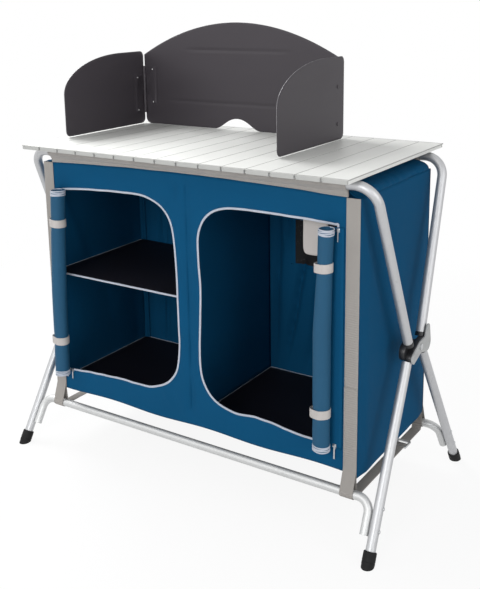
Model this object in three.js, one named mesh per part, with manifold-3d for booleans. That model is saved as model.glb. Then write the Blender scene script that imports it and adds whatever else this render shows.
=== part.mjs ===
// A folding camp kitchen: a slatted aluminium worktop on two crossing tube frames, a fabric
// cabinet that hangs below it, and a hinged steel windscreen that stands on the top.
// Millimetres. +X is right, +Y is the rear, +Z is up, and z = 0 is the ground.
import * as THREE from "three";
import { mergeVertices } from "three/addons/utils/BufferGeometryUtils.js";
import Module from "manifold-3d";

const wasm = await Module();
wasm.setup();

// Clearances and shared values
const SEAT_GAP = 0.3; // between pieces that rest on each other
const RUNNING_GAP = 0.4; // between pieces that turn past each other
const OVERRUN = 2; // how far a cut reaches past the face that it opens
const MERGE_DISTANCE = 1e-4;
const ROUND_SIDES = 12;
const BEND_STEPS = 5;
const BORE_SIDES = 8; // of a tube's inside and of small round pieces
const CORNER_STEPS = 3; // pairs of steps round a corner
const CURVE_STEPS = 16;

// Worktop
const TOP_WIDTH = 900;
const TOP_DEPTH = 510;
const TOP_HEIGHT = 820;
const SLAT_COUNT = 15;
const SLAT_THICKNESS = 10;
const SLAT_SEAM = 0.6; // between the lips of two slats
const SLAT_LIP_REACH = 2.4;
const SLAT_LIP_THICKNESS = 2.2;
const SLAT_EDGE_CHAMFER = 0.7;
const SLAT_SKIN = 1.8;
const SLAT_WALL = 1.6;
const SLAT_END_WALL = 2;
const TOP_BAND_WIDTH = 30;
const TOP_BAND_THICKNESS = 1.5;
const TOP_BAND_INSET = 40; // from a rail's axis to a band's middle

// Tube frames
const TUBE_RADIUS = 11;
const TUBE_WALL = 1.2;
const RAIL_Y = 190;
const RAIL_BEND = 48;
const PIVOT_X = 494;
const PIVOT_Z = 400;
const FOOT_X = 510;
const FOOT_Y = 263;
const TUBE_JOG = 29; // each tube's axis passes the pivot at this distance
const UPPER_TUBE_START = 20; // above the pivot
const LOWER_TUBE_START = 25; // below the pivot
const FOOT_RADIUS = 14.5;
const FOOT_LENGTH = 42;
const FOOT_RIM = 1.5;
const FOOT_RIM_HEIGHT = 6;
const FOOT_SOLE = 9;
const CROSSBAR_RADIUS = 10;
const CROSSBAR_Z = 113;
const CROSSBAR_END_Z = 50;
const CROSSBAR_BEND = 30;

// Pivot joints
const JOINT_HALF_THICKNESS = 13;
const JOINT_HUB_RADIUS = 14;
const JOINT_LOBE_RADIUS = 20;
const JOINT_LOBE_Y = 38;
const JOINT_LOBE_DROP = 3;
const JOINT_ARM_RADIUS = 12;
const JOINT_SHOULDER = 9;
const JOINT_PLUG_LENGTH = 26;
const JOINT_PLATE_THICKNESS = 3;
const JOINT_TONGUE_RADIUS = 9;
const JOINT_TONGUE_RISE = 32;
const PIN_RADIUS = 4;
const PIN_HEAD_RADIUS = 7;
const PIN_HEAD_THICKNESS = 2.4;

// Cabinet
const FABRIC = 2;
const SLEEVE_FABRIC = 1.2;
const SLEEVE_SETBACK = 29; // from the cabinet's side to a sleeve's end
const SLEEVE_TAIL = 28.2; // from a rail's axis down to the panels
const CABINET_HALF_WIDTH = 446;
const CABINET_SETBACK = 2; // from a rail's axis to the outer face of a panel
const CABINET_RISE = 39; // above the crossbars' axis
const SIDE_DROP = 6; // of the side panels, below the front and rear panels
const ROOF_DROP = 5.2; // below the rails' axis
const ROOF_SHOULDER = 56; // where the roof turns down, from the cabinet's side
const ROOF_SAG = 3;
const ROOF_STEPS = 4;
const FLOOR_RISE = 16; // from the panels' lower edge to the floor's top
const FLOOR_THICKNESS = 6;
const SHELF_TOP_Z = 475;
const SHELF_THICKNESS = 5;
const SHELF_SETBACK = 11;
const FOLD_DEPTH = 4;
const SIDE_FOLDS = 3;
const REAR_FOLDS = 7;
const FOLD_STEPS = 8;
const STILL_EDGE = 4; // flat cloth beside a seam or a strap
const DOOR_INNER_X = 32;
const DOOR_SIDE = 44; // from a doorway to the cabinet's side
const DOOR_SILL = 65; // from the panel's lower edge to a doorway
const DOOR_HEAD = 54; // from a doorway to the panel's top
const DOOR_TOP_RADIUS = 90;
const DOOR_BOTTOM_RADIUS = 100;
const DOOR_OUTER_RADIUS = 6;
const PIPING_WIDTH = 5;
const PIPING_RISE = 1.5;
const PIPING_HIDDEN = 32; // end of the piping that lies under a roll
const ROLL_TURNS = 4;
const ROLL_STEPS = 16; // in one turn
const ROLL_FABRIC = 2.6;
const ROLL_CORE_RADIUS = 5;
const ROLL_BAND_WIDTH = 20;
const ROLL_BAND_THICKNESS = 1.2;
const ROLL_HEAD = 10; // from a roll's upper end to the doorway's top
const DOOR_SEAM = 8; // from a doorway to the seam that holds its door
const LEFT_ROLL_INSET = 8; // from the seam to the roll's axis
const LEFT_ROLL_RADIUS = 26;
const LEFT_ROLL_RISE = 31; // of the lower end, above the panel's lower edge
const LEFT_ROLL_LOW_BAND = 108; // above the roll's lower end
const LEFT_ROLL_HIGH_BAND = 96; // below its upper end
const RIGHT_ROLL_INSET = 36;
const RIGHT_ROLL_RADIUS = 23;
const RIGHT_ROLL_RISE = 42;
const RIGHT_ROLL_LOW_BAND = 100;
const RIGHT_ROLL_HIGH_BAND = 85;
const MESH_LEFT_X = 74;
const MESH_WIDTH = 226;
const MESH_HEIGHT = 130;
const MESH_DROP = 165; // below the rear panel's top
const MESH_PITCH = 22;
const MESH_STRAND = 3;
const MESH_HEM = 8;
const STRAP_WIDTH = 32;
const STRAP_THICKNESS = 1.2;
const STRAP_LAP = 190; // length that a strap closes on itself
const STRAP_MEET = 13; // from the panels' lower edge to the lap
const STRAP_TURN_STEPS = 10;
const STRAP_LAP_SHARE = 1.25;
const BOTTOM_STRAP_INSET = 12; // from the cabinet's side to a bottom strap's middle
const BOTTOM_STRAP_WIDTH = 25;
const BOTTOM_STRAP_DROP = 13; // below the crossbars' axis
const BOTTOM_STRAP_RAMP = 6;
const BUCKLE_Y = 90;
const BUCKLE_LENGTH = 34;
const BUCKLE_THICKNESS = 6;
const BUCKLE_RIM = 4;

// Windscreen
const SHEET = 1.2;
const SCREEN_X = -112; // middle of the back panel
const SCREEN_SETBACK = 48.6; // from the worktop's rear edge to the back panel's front face
const SCREEN_WIDTH = 630;
const SCREEN_SIDE_HEIGHT = 196;
const SCREEN_PEAK_HEIGHT = 286;
const SCREEN_CORNER = 18;
const SCREEN_NOTCH_HALF = 66;
const SCREEN_NOTCH_HEIGHT = 30;
const SCREEN_NOTCH_SHARE = 0.68;
const SCREEN_RIB_WIDTH = 6;
const SCREEN_RIB_RISE = 1;
// Each rib's half length against the panel's, and its height against the peak
const SCREEN_RIB_SHARES = [
  { half: 0.565, height: 0.741 },
  { half: 0.784, height: 0.245 },
];
const WING_LENGTH = 323;
const WING_BASE = 2; // above the worktop
const WING_HEIGHT = 204;
const WING_CORNER = 14.5;
const WING_FRONT_HEIGHT = 108;
const WING_SWEEP = 228;
const WING_SWEEP_START_SHARE = 0.51;
const WING_SWEEP_PULL_SHARE = 0.39;
const WING_REAR_GAP = 1.4; // to the back panel's face
const KNUCKLE_RADIUS = 4.5;
const KNUCKLE_COUNT = 6;
const KNUCKLE_HEIGHT = 22;
const KNUCKLE_BASE = 32; // above the worktop
const HINGE_PIN_RADIUS = 2.4;
const HINGE_LEAF_WIDTH = 42;
const HINGE_LEAF_CORNER = 5;
const RIVET_RADIUS = 2.3;
const RIVET_HEAD_RADIUS = 4.6;
const RIVET_HEAD_THICKNESS = 1.3;
const RIVET_FROM_HINGE = 28;
const RIVET_SPREAD = 92;
const SCREEN_SIDE_GAP = 2.8; // from a wing's inner face to the back panel's side edge

// Values worked out from the sizes above
const SLAT_PITCH = TOP_WIDTH / SLAT_COUNT;
const SLAT_BOTTOM_Z = TOP_HEIGHT - SLAT_THICKNESS;
const SLEEVE_RADIUS = TUBE_RADIUS + SEAT_GAP + SLEEVE_FABRIC;
const RAIL_Z = SLAT_BOTTOM_Z - SEAT_GAP - SLEEVE_RADIUS;
const LEG_LEAN = (FOOT_X - PIVOT_X) / PIVOT_Z;
const UPPER_SLOPE = (RAIL_Y - TUBE_JOG) / (RAIL_Z - PIVOT_Z);
const LOWER_SLOPE = (FOOT_Y - TUBE_JOG) / PIVOT_Z;
const TOP_BAND_Y = RAIL_Y - TOP_BAND_INSET;
const CABINET_FACE_Y = RAIL_Y - CABINET_SETBACK; // outer face of the front and rear panels
const PANEL_INNER_Y = CABINET_FACE_Y - FABRIC;
const SIDE_INNER_X = CABINET_HALF_WIDTH - FABRIC;
const CABINET_BOTTOM_Z = CROSSBAR_Z + CABINET_RISE;
const SIDE_BOTTOM_Z = CABINET_BOTTOM_Z - SIDE_DROP;
const PANEL_TOP_Z = RAIL_Z - SLEEVE_TAIL;
const SLEEVE_HALF_LENGTH = CABINET_HALF_WIDTH - SLEEVE_SETBACK;
const ROOF_Z = RAIL_Z - ROOF_DROP;
const ROOF_FLAT_HALF = CABINET_HALF_WIDTH - ROOF_SHOULDER;
const FLOOR_TOP_Z = CABINET_BOTTOM_Z + FLOOR_RISE;
const DOOR_OUTER_X = CABINET_HALF_WIDTH - DOOR_SIDE;
const DOOR_BOTTOM_Z = CABINET_BOTTOM_Z + DOOR_SILL;
const DOOR_TOP_Z = PANEL_TOP_Z - DOOR_HEAD;
const DOOR_SEAM_X = DOOR_OUTER_X + DOOR_SEAM;
const PIPING_OUTER_X = DOOR_OUTER_X - PIPING_HIDDEN;
const ROLL_TOP_Z = DOOR_TOP_Z - ROLL_HEAD;
const LEFT_ROLL_BOTTOM_Z = CABINET_BOTTOM_Z + LEFT_ROLL_RISE;
const RIGHT_ROLL_BOTTOM_Z = CABINET_BOTTOM_Z + RIGHT_ROLL_RISE;
const LEFT_ROLL = {
  x: LEFT_ROLL_INSET - DOOR_SEAM_X,
  radius: LEFT_ROLL_RADIUS,
  bottom: LEFT_ROLL_BOTTOM_Z,
  bands: [ROLL_TOP_Z - LEFT_ROLL_HIGH_BAND, LEFT_ROLL_BOTTOM_Z + LEFT_ROLL_LOW_BAND],
};
const RIGHT_ROLL = {
  x: DOOR_SEAM_X - RIGHT_ROLL_INSET,
  radius: RIGHT_ROLL_RADIUS,
  bottom: RIGHT_ROLL_BOTTOM_Z,
  bands: [ROLL_TOP_Z - RIGHT_ROLL_HIGH_BAND, RIGHT_ROLL_BOTTOM_Z + RIGHT_ROLL_LOW_BAND],
};
const MESH_RIGHT_X = MESH_LEFT_X + MESH_WIDTH;
const MESH_TOP_Z = PANEL_TOP_Z - MESH_DROP;
const MESH_BOTTOM_Z = MESH_TOP_Z - MESH_HEIGHT;
const STRAP_INNER_X = CABINET_HALF_WIDTH - STRAP_WIDTH;
const STRAP_MEET_Z = CABINET_BOTTOM_Z + STRAP_MEET;
const STRAP_JOIN_Z = STRAP_MEET_Z + STRAP_LAP;
const BOTTOM_STRAP_X = CABINET_HALF_WIDTH - BOTTOM_STRAP_INSET;
const BOTTOM_STRAP_Z = CROSSBAR_Z - BOTTOM_STRAP_DROP;
const SCREEN_FACE_Y = TOP_DEPTH / 2 - SCREEN_SETBACK;
const BAR_Y = TUBE_JOG + LOWER_SLOPE * (PIVOT_Z - CROSSBAR_Z);
const KNUCKLE_OFFSET = KNUCKLE_RADIUS + SEAT_GAP; // hinge axis to a sheet's face
const HINGE_X = SCREEN_WIDTH / 2 + SCREEN_SIDE_GAP - KNUCKLE_OFFSET; // from the screen's middle
const HINGE_Y = SCREEN_FACE_Y - KNUCKLE_OFFSET;
const LEAF_HEIGHT = (KNUCKLE_COUNT - 1) * KNUCKLE_HEIGHT;

// Outlines

function ring(radius, sides = ROUND_SIDES, x = 0, y = 0) {
  return Array.from({ length: sides }, (_, i) => {
    const angle = (2 * Math.PI * i) / sides;
    return new THREE.Vector2(x + radius * Math.cos(angle), y + radius * Math.sin(angle));
  });
}

function rectangle(left, low, right, high) {
  return new THREE.Shape([
    new THREE.Vector2(left, low),
    new THREE.Vector2(right, low),
    new THREE.Vector2(right, high),
    new THREE.Vector2(left, high),
  ]);
}

// A rectangle whose corners are rounded one by one: low left, low right, high right, high left.
function roundedRectangle(left, low, right, high, [a, b, c, d]) {
  const shape = new THREE.Shape();
  shape.moveTo(left + a, low);
  shape.lineTo(right - b, low);
  shape.absarc(right - b, low + b, b, -Math.PI / 2, 0);
  shape.lineTo(right, high - c);
  shape.absarc(right - c, high - c, c, 0, Math.PI / 2);
  shape.lineTo(left + d, high);
  shape.absarc(left + d, high - d, d, Math.PI / 2, Math.PI);
  shape.lineTo(left, low + a);
  shape.absarc(left + a, low + a, a, Math.PI, 1.5 * Math.PI);
  return shape;
}

// The outline round two discs and the strip between them.
function discPair([ax, ay, ra], [bx, by, rb], steps = BORE_SIDES) {
  const along = Math.atan2(by - ay, bx - ax);
  const spread = Math.acos((ra - rb) / Math.hypot(bx - ax, by - ay));
  const points = [];
  for (let i = 0; i <= steps; i++) {
    const angle = along + spread + ((2 * Math.PI - 2 * spread) * i) / steps;
    points.push(new THREE.Vector2(ax + ra * Math.cos(angle), ay + ra * Math.sin(angle)));
  }
  for (let i = 0; i <= steps; i++) {
    const angle = along - spread + (2 * spread * i) / steps;
    points.push(new THREE.Vector2(bx + rb * Math.cos(angle), by + rb * Math.sin(angle)));
  }
  return new THREE.Shape(points);
}

// A band of even thickness along a line of points.
function ribbon(points, thickness) {
  const edge = (way) =>
    points.map((point, i) => {
      const before = points[Math.max(i - 1, 0)];
      const after = points[Math.min(i + 1, points.length - 1)];
      const a = point.clone().sub(before).normalize();
      const b = after.clone().sub(point).normalize();
      const along = a.clone().add(b).normalize();
      const stretch = i && i < points.length - 1 ? 1 / along.dot(a) : 1;
      const out = (way * stretch * thickness) / 2;
      return new THREE.Vector2(point.x - along.y * out, point.y + along.x * out);
    });
  return new THREE.Shape([...edge(-1), ...edge(1).reverse()]);
}

// Bodies

function prism(outline, depth, curveSegments) {
  return new THREE.ExtrudeGeometry(outline, { depth, bevelEnabled: false, curveSegments });
}

// The outline is drawn in (y, z) and runs along x.
function prismX(outline, from, to, curveSegments = CORNER_STEPS) {
  const turn = new THREE.Matrix4().makeBasis(
    new THREE.Vector3(0, 1, 0),
    new THREE.Vector3(0, 0, 1),
    new THREE.Vector3(1, 0, 0),
  );
  return prism(outline, to - from, curveSegments).applyMatrix4(turn).translate(from, 0, 0);
}

// The outline is drawn in (x, z) and runs along y.
function prismY(outline, from, to, curveSegments = CORNER_STEPS) {
  return prism(outline, to - from, curveSegments).rotateX(Math.PI / 2).translate(0, to, 0);
}

// The outline is drawn in (x, y) and runs along z.
function prismZ(outline, from, to, curveSegments = CORNER_STEPS) {
  return prism(outline, to - from, curveSegments).translate(0, 0, from);
}

function rod(start, end, radius, sides = ROUND_SIDES) {
  const along = end.clone().sub(start);
  const turn = new THREE.Quaternion().setFromUnitVectors(
    new THREE.Vector3(0, 1, 0),
    along.clone().normalize(),
  );
  const middle = start.clone().add(end).multiplyScalar(0.5);
  return new THREE.CylinderGeometry(radius, radius, along.length(), sides)
    .applyQuaternion(turn)
    .translate(middle.x, middle.y, middle.z);
}

// A round cut whose flats stay clear of the radius that passes through it.
function bore(start, end, radius, sides = ROUND_SIDES) {
  return rod(start, end, radius / Math.cos(Math.PI / sides), sides);
}

// A line of stations that an extrusion follows one step at a time.
class StationCurve extends THREE.Curve {
  constructor(stations) {
    super();
    this.stations = stations;
  }
  getPoint(share, target = new THREE.Vector3()) {
    const place = share * (this.stations.length - 1);
    const i = Math.min(Math.floor(place), this.stations.length - 2);
    return target.copy(this.stations[i]).lerp(this.stations[i + 1], place - i);
  }
  getPointAt(share, target) {
    return this.getPoint(share, target);
  }
  getTangent(share, target = new THREE.Vector3()) {
    const last = this.stations.length - 1;
    const i = Math.round(share * last);
    const here = this.stations[i];
    const back = here.clone().sub(this.stations[Math.max(i - 1, 0)]).normalize();
    const ahead = this.stations[Math.min(i + 1, last)].clone().sub(here).normalize();
    return target.copy(back.add(ahead)).normalize();
  }
  getTangentAt(share, target) {
    return this.getTangent(share, target);
  }
}

// The corners' line with each inner corner bent to a radius.
function bentLine(corners, radius) {
  const line = [corners[0].clone()];
  for (let i = 1; i < corners.length - 1; i++) {
    const back = corners[i - 1].clone().sub(corners[i]).normalize();
    const ahead = corners[i + 1].clone().sub(corners[i]).normalize();
    const half = back.angleTo(ahead) / 2;
    const centre = back
      .clone()
      .add(ahead)
      .normalize()
      .multiplyScalar(radius / Math.sin(half))
      .add(corners[i]);
    const arm = back.clone().multiplyScalar(radius / Math.tan(half)).add(corners[i]).sub(centre);
    const axis = ahead.clone().cross(back).normalize();
    for (let k = 0; k <= BEND_STEPS; k++) {
      const angle = ((Math.PI - 2 * half) * k) / BEND_STEPS;
      line.push(arm.clone().applyAxisAngle(axis, angle).add(centre));
    }
  }
  line.push(corners[corners.length - 1].clone());
  return line;
}

function tube(line, radius, wall) {
  const outline = new THREE.Shape(ring(radius));
  outline.holes.push(new THREE.Path(ring(radius - wall, BORE_SIDES)));
  return new THREE.ExtrudeGeometry(outline, {
    steps: line.length - 1,
    extrudePath: new StationCurve(line),
  });
}

function solid(geometry) {
  const bare = geometry.clone();
  bare.deleteAttribute("normal");
  bare.deleteAttribute("uv");
  const merged = mergeVertices(bare, MERGE_DISTANCE);
  return new wasm.Manifold(
    new wasm.Mesh({
      numProp: 3,
      vertProperties: merged.attributes.position.array,
      triVerts: new Uint32Array(merged.index.array),
    }),
  );
}

function joined(geometries) {
  return geometries.map(solid).reduce((whole, piece) => whole.add(piece));
}

function geometryOf(body) {
  const mesh = body.getMesh();
  const geometry = new THREE.BufferGeometry();
  geometry.setAttribute("position", new THREE.BufferAttribute(mesh.vertProperties, 3));
  geometry.setIndex(new THREE.BufferAttribute(mesh.triVerts, 1));
  const faceted = geometry.toNonIndexed();
  faceted.computeVertexNormals();
  return faceted;
}

// Finishes: colour, roughness, metalness
const FINISHES = {
  slat: [0xe0e2de, 0.45, 0.55],
  band: [0x2a2a2e, 0.8, 0],
  tube: [0xd2d3d4, 0.35, 0.9],
  crossbar: [0xa9abac, 0.45, 0.8],
  rubber: [0x1a1a1a, 0.85, 0],
  blackPlastic: [0x17181a, 0.5, 0],
  greyPlastic: [0x74787a, 0.5, 0],
  steel: [0xb4b6b8, 0.3, 1],
  fabric: [0x10486e, 0.9, 0],
  board: [0x111216, 0.9, 0],
  webbing: [0xa5a09b, 0.85, 0],
  roll: [0x325a82, 0.9, 0],
  screen: [0x444246, 0.4, 0.6],
};

function mesh(name, shape, finish) {
  const [color, roughness, metalness] = FINISHES[finish];
  const geometry = shape.isBufferGeometry ? shape : geometryOf(shape);
  const made = new THREE.Mesh(
    geometry,
    new THREE.MeshStandardMaterial({ color, roughness, metalness }),
  );
  made.name = name;
  return made;
}

// Two mirrored copies, named for the left and right.
function pair(group, name, shape, finish) {
  const right = mesh(name + "_right", shape, finish);
  const left = mesh(name + "_left", right.geometry, finish);
  left.scale.x = -1;
  group.add(left, right);
}

// Worktop

function slat() {
  const lip = (SLAT_PITCH - SLAT_SEAM) / 2;
  const body = lip - SLAT_LIP_REACH;
  const half = [
    [lip - SLAT_EDGE_CHAMFER, TOP_HEIGHT],
    [lip, TOP_HEIGHT - SLAT_EDGE_CHAMFER],
    [lip, TOP_HEIGHT - SLAT_LIP_THICKNESS],
    [body, TOP_HEIGHT - SLAT_LIP_THICKNESS],
    [body, SLAT_BOTTOM_Z],
  ];
  const points = [...half, ...half.map(([x, z]) => [-x, z]).reverse()];
  const outline = new THREE.Shape(points.map(([x, z]) => new THREE.Vector2(x, z)));
  const inner = body - SLAT_WALL;
  const hollow = rectangle(-inner, SLAT_BOTTOM_Z - OVERRUN, inner, TOP_HEIGHT - SLAT_SKIN);
  const reach = TOP_DEPTH / 2 - SLAT_END_WALL;
  return solid(prismY(outline, -TOP_DEPTH / 2, TOP_DEPTH / 2)).subtract(
    solid(prismY(hollow, -reach, reach)),
  );
}

function worktop() {
  const group = new THREE.Group();
  const shape = geometryOf(slat());
  for (let i = 0; i < SLAT_COUNT; i++) {
    const one = mesh("slat_" + String(i + 1).padStart(2, "0"), shape, "slat");
    one.position.x = (i - (SLAT_COUNT - 1) / 2) * SLAT_PITCH;
    group.add(one);
  }
  const reach = (TOP_WIDTH - SLAT_PITCH) / 2 + TOP_BAND_WIDTH / 2;
  const top = SLAT_BOTTOM_Z - SEAT_GAP;
  const strip = prismY(
    rectangle(-reach, top - TOP_BAND_THICKNESS, reach, top),
    -TOP_BAND_WIDTH / 2,
    TOP_BAND_WIDTH / 2,
  );
  for (const [name, way] of [["front_top_band", -1], ["rear_top_band", 1]]) {
    const band = mesh(name, strip, "band");
    band.position.y = way * TOP_BAND_Y;
    group.add(band);
  }
  return group;
}

// Frames. A way of -1 is toward the front and 1 toward the rear. Points are on the right side.

const legX = (z) => PIVOT_X + LEG_LEAN * (PIVOT_Z - z);

function upperAxis(z, way) {
  return new THREE.Vector3(legX(z), way * (TUBE_JOG + UPPER_SLOPE * (z - PIVOT_Z)), z);
}

function lowerAxis(z, way) {
  return new THREE.Vector3(legX(z), way * (TUBE_JOG + LOWER_SLOPE * (PIVOT_Z - z)), z);
}

function mirrored(point) {
  return new THREE.Vector3(-point.x, point.y, point.z);
}

// A line from its right half's corners, outer end first, and their mirror.
function acrossLine(corners, radius) {
  return bentLine([...corners, ...corners.map(mirrored).reverse()], radius);
}

function topFrame(way) {
  const corners = [upperAxis(PIVOT_Z + UPPER_TUBE_START, way), upperAxis(RAIL_Z, way)];
  return tube(acrossLine(corners, RAIL_BEND), TUBE_RADIUS, TUBE_WALL);
}

function leg(way) {
  const line = [lowerAxis(PIVOT_Z - LOWER_TUBE_START, way), lowerAxis(FOOT_SOLE, way)];
  return tube(line, TUBE_RADIUS, TUBE_WALL);
}

function crossbar(way) {
  const inboard = TUBE_RADIUS + SEAT_GAP + CROSSBAR_RADIUS;
  const beside = (z) => lowerAxis(z, way).sub(new THREE.Vector3(inboard, 0, 0));
  const corners = [beside(CROSSBAR_END_Z), beside(CROSSBAR_Z)];
  return tube(acrossLine(corners, CROSSBAR_BEND), CROSSBAR_RADIUS, TUBE_WALL);
}

function foot(way) {
  const reach = FOOT_RADIUS + FOOT_RIM + OVERRUN;
  const below = lowerAxis(-reach, way);
  const cap = solid(rod(below, lowerAxis(FOOT_LENGTH, way), FOOT_RADIUS, 2 * ROUND_SIDES));
  const rim = solid(
    rod(below, lowerAxis(FOOT_RIM_HEIGHT, way), FOOT_RADIUS + FOOT_RIM, 2 * ROUND_SIDES),
  );
  const socket = solid(
    bore(
      lowerAxis(FOOT_SOLE - SEAT_GAP, way),
      lowerAxis(FOOT_LENGTH + OVERRUN, way),
      TUBE_RADIUS + SEAT_GAP,
    ),
  );
  const sunk = 2 * reach;
  const ground = new THREE.BoxGeometry(2 * sunk, 2 * sunk, 2 * sunk);
  const base = lowerAxis(0, way);
  ground.translate(base.x, base.y, -sunk);
  return cap.add(rim).subtract(socket).subtract(solid(ground));
}

// One half of a pivot joint. Its upper tube leaves on the side that way gives, its lower tube
// on the other. The lobe under the upper tube is the stop that the other frame's leg meets.
function jointHalf(way, inner, outer, plate) {
  const upper = (rise) => upperAxis(PIVOT_Z + UPPER_TUBE_START + rise, way);
  const lower = (drop) => lowerAxis(PIVOT_Z - LOWER_TUBE_START - drop, -way);
  const hub = [0, 0, JOINT_HUB_RADIUS];
  const lobe = [way * JOINT_LOBE_Y, -JOINT_LOBE_DROP, JOINT_LOBE_RADIUS];
  const elbow = lower(-JOINT_SHOULDER);
  const arm = [elbow.y, elbow.z - PIVOT_Z, JOINT_ARM_RADIUS];
  const flat = (outline, from, to) => prismX(outline, from, to).translate(0, 0, PIVOT_Z);
  const reach = 2 * (JOINT_LOBE_Y + JOINT_LOBE_RADIUS);
  const half = solid(flat(rectangle(-reach, -reach, reach, reach), inner, outer));
  const pieces = [
    flat(discPair(hub, lobe), inner, outer),
    flat(discPair(hub, arm), inner, outer),
    rod(upper(-SEAT_GAP), upper(-JOINT_SHOULDER), JOINT_ARM_RADIUS),
  ];
  if (plate) {
    const rise = upperAxis(PIVOT_Z + JOINT_TONGUE_RISE, way);
    const tongue = [rise.y, JOINT_TONGUE_RISE, JOINT_TONGUE_RADIUS];
    pieces.push(flat(discPair(hub, lobe), outer, outer + plate));
    pieces.push(flat(discPair(lobe, tongue), outer, outer + plate));
    pieces.push(flat(discPair(hub, arm), outer, outer + plate));
  }
  const room = TUBE_RADIUS + SEAT_GAP;
  const hole = bore(
    new THREE.Vector3(inner - OVERRUN, 0, PIVOT_Z),
    new THREE.Vector3(outer + plate + OVERRUN, 0, PIVOT_Z),
    PIN_RADIUS + SEAT_GAP,
  );
  const shell = joined(pieces)
    .subtract(solid(bore(upper(-SEAT_GAP), upper(JOINT_PLUG_LENGTH), room)))
    .subtract(solid(rod(lower(-SEAT_GAP), lower(JOINT_PLUG_LENGTH), 2 * room)))
    .subtract(solid(hole));
  const plug = (TUBE_RADIUS - TUBE_WALL) * Math.cos(Math.PI / BORE_SIDES) - SEAT_GAP;
  const root = JOINT_SHOULDER / 2; // of each plug, sunk in its arm
  return shell
    .add(solid(rod(upper(-root), upper(JOINT_PLUG_LENGTH), plug)))
    .add(solid(rod(lower(-root), lower(root), plug)).intersect(half))
    .add(solid(rod(lower(0), lower(JOINT_PLUG_LENGTH), plug)));
}

function pivotPin() {
  const at = (x) => new THREE.Vector3(x, 0, PIVOT_Z);
  const inner = PIVOT_X - JOINT_HALF_THICKNESS - SEAT_GAP;
  const outer = PIVOT_X + JOINT_HALF_THICKNESS + JOINT_PLATE_THICKNESS + SEAT_GAP;
  return joined([
    rod(at(inner - PIN_HEAD_THICKNESS), at(outer + PIN_HEAD_THICKNESS), PIN_RADIUS),
    rod(at(inner - PIN_HEAD_THICKNESS), at(inner), PIN_HEAD_RADIUS),
    rod(at(outer), at(outer + PIN_HEAD_THICKNESS), PIN_HEAD_RADIUS),
  ]);
}

function frontFrame() {
  const group = new THREE.Group();
  const lap = PIVOT_X - RUNNING_GAP / 2;
  group.add(mesh("front_top_frame", topFrame(-1), "tube"));
  group.add(mesh("rear_crossbar", crossbar(1), "crossbar"));
  pair(group, "rear_leg", leg(1), "tube");
  pair(group, "rear_foot", foot(1), "rubber");
  pair(group, "inner_joint", jointHalf(-1, PIVOT_X - JOINT_HALF_THICKNESS, lap, 0), "blackPlastic");
  pair(group, "pivot_pin", pivotPin(), "steel");
  return group;
}

function rearFrame() {
  const group = new THREE.Group();
  const lap = PIVOT_X + RUNNING_GAP / 2;
  const outer = PIVOT_X + JOINT_HALF_THICKNESS;
  group.add(mesh("rear_top_frame", topFrame(1), "tube"));
  group.add(mesh("front_crossbar", crossbar(-1), "crossbar"));
  pair(group, "front_leg", leg(-1), "tube");
  pair(group, "front_foot", foot(-1), "rubber");
  pair(group, "outer_joint", jointHalf(1, lap, outer, JOINT_PLATE_THICKNESS), "greyPlastic");
  return group;
}

// Cabinet

// The sleeve sewn round a rail, with the flat tail that carries a panel.
function sleeve(way) {
  const outline = new THREE.Shape(ring(SLEEVE_RADIUS, 2 * ROUND_SIDES, way * RAIL_Y, RAIL_Z));
  const tail = rectangle(
    Math.min(way * CABINET_FACE_Y, way * PANEL_INNER_Y),
    PANEL_TOP_Z,
    Math.max(way * CABINET_FACE_Y, way * PANEL_INNER_Y),
    RAIL_Z,
  );
  const rail = bore(
    new THREE.Vector3(-SLEEVE_HALF_LENGTH - OVERRUN, way * RAIL_Y, RAIL_Z),
    new THREE.Vector3(SLEEVE_HALF_LENGTH + OVERRUN, way * RAIL_Y, RAIL_Z),
    TUBE_RADIUS + SEAT_GAP,
    2 * ROUND_SIDES,
  );
  return joined([
    prismX(outline, -SLEEVE_HALF_LENGTH, SLEEVE_HALF_LENGTH),
    prismX(tail, -SLEEVE_HALF_LENGTH, SLEEVE_HALF_LENGTH),
  ]).subtract(solid(rail));
}

// A door opening on the right, larger by grow on every side.
function doorway(grow) {
  return roundedRectangle(
    DOOR_INNER_X - grow,
    DOOR_BOTTOM_Z - grow,
    DOOR_OUTER_X + grow,
    DOOR_TOP_Z + grow,
    [DOOR_BOTTOM_RADIUS + grow, DOOR_OUTER_RADIUS, DOOR_OUTER_RADIUS, DOOR_TOP_RADIUS + grow],
  );
}

function frontPanel() {
  const face = -CABINET_FACE_Y;
  const sheet = solid(
    prismY(
      rectangle(-CABINET_HALF_WIDTH, CABINET_BOTTOM_Z, CABINET_HALF_WIDTH, PANEL_TOP_Z - SEAT_GAP),
      face,
      face + FABRIC,
    ),
  );
  const opening = solid(prismY(doorway(0), face - OVERRUN, face + FABRIC + OVERRUN, BEND_STEPS));
  const hidden = solid(
    prismY(
      rectangle(PIPING_OUTER_X, CABINET_BOTTOM_Z, CABINET_HALF_WIDTH, PANEL_TOP_Z),
      face - OVERRUN,
      face,
    ),
  );
  const piping = solid(
    prismY(doorway(PIPING_WIDTH), face - PIPING_RISE, face + FABRIC, BEND_STEPS),
  );
  const bead = piping.subtract(hidden);
  const right = sheet.add(bead).add(bead.mirror([1, 0, 0]));
  return right.subtract(opening).subtract(opening.mirror([1, 0, 0]));
}

// Cloth hung between two ends, with soft upright folds that bulge away from the cabinet.
function foldedSheet(halfLength, folds, still) {
  const steps = FOLD_STEPS * folds;
  const points = Array.from({ length: steps + 1 }, (_, i) => {
    const along = -halfLength + (2 * halfLength * i) / steps;
    const edge = THREE.MathUtils.smoothstep(halfLength - Math.abs(along), still, 2 * still);
    const wave = (1 - Math.cos((2 * Math.PI * folds * i) / steps)) / 2;
    return new THREE.Vector2(along, FOLD_DEPTH * edge * wave + FABRIC / 2);
  });
  return ribbon(points, FABRIC);
}

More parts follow.
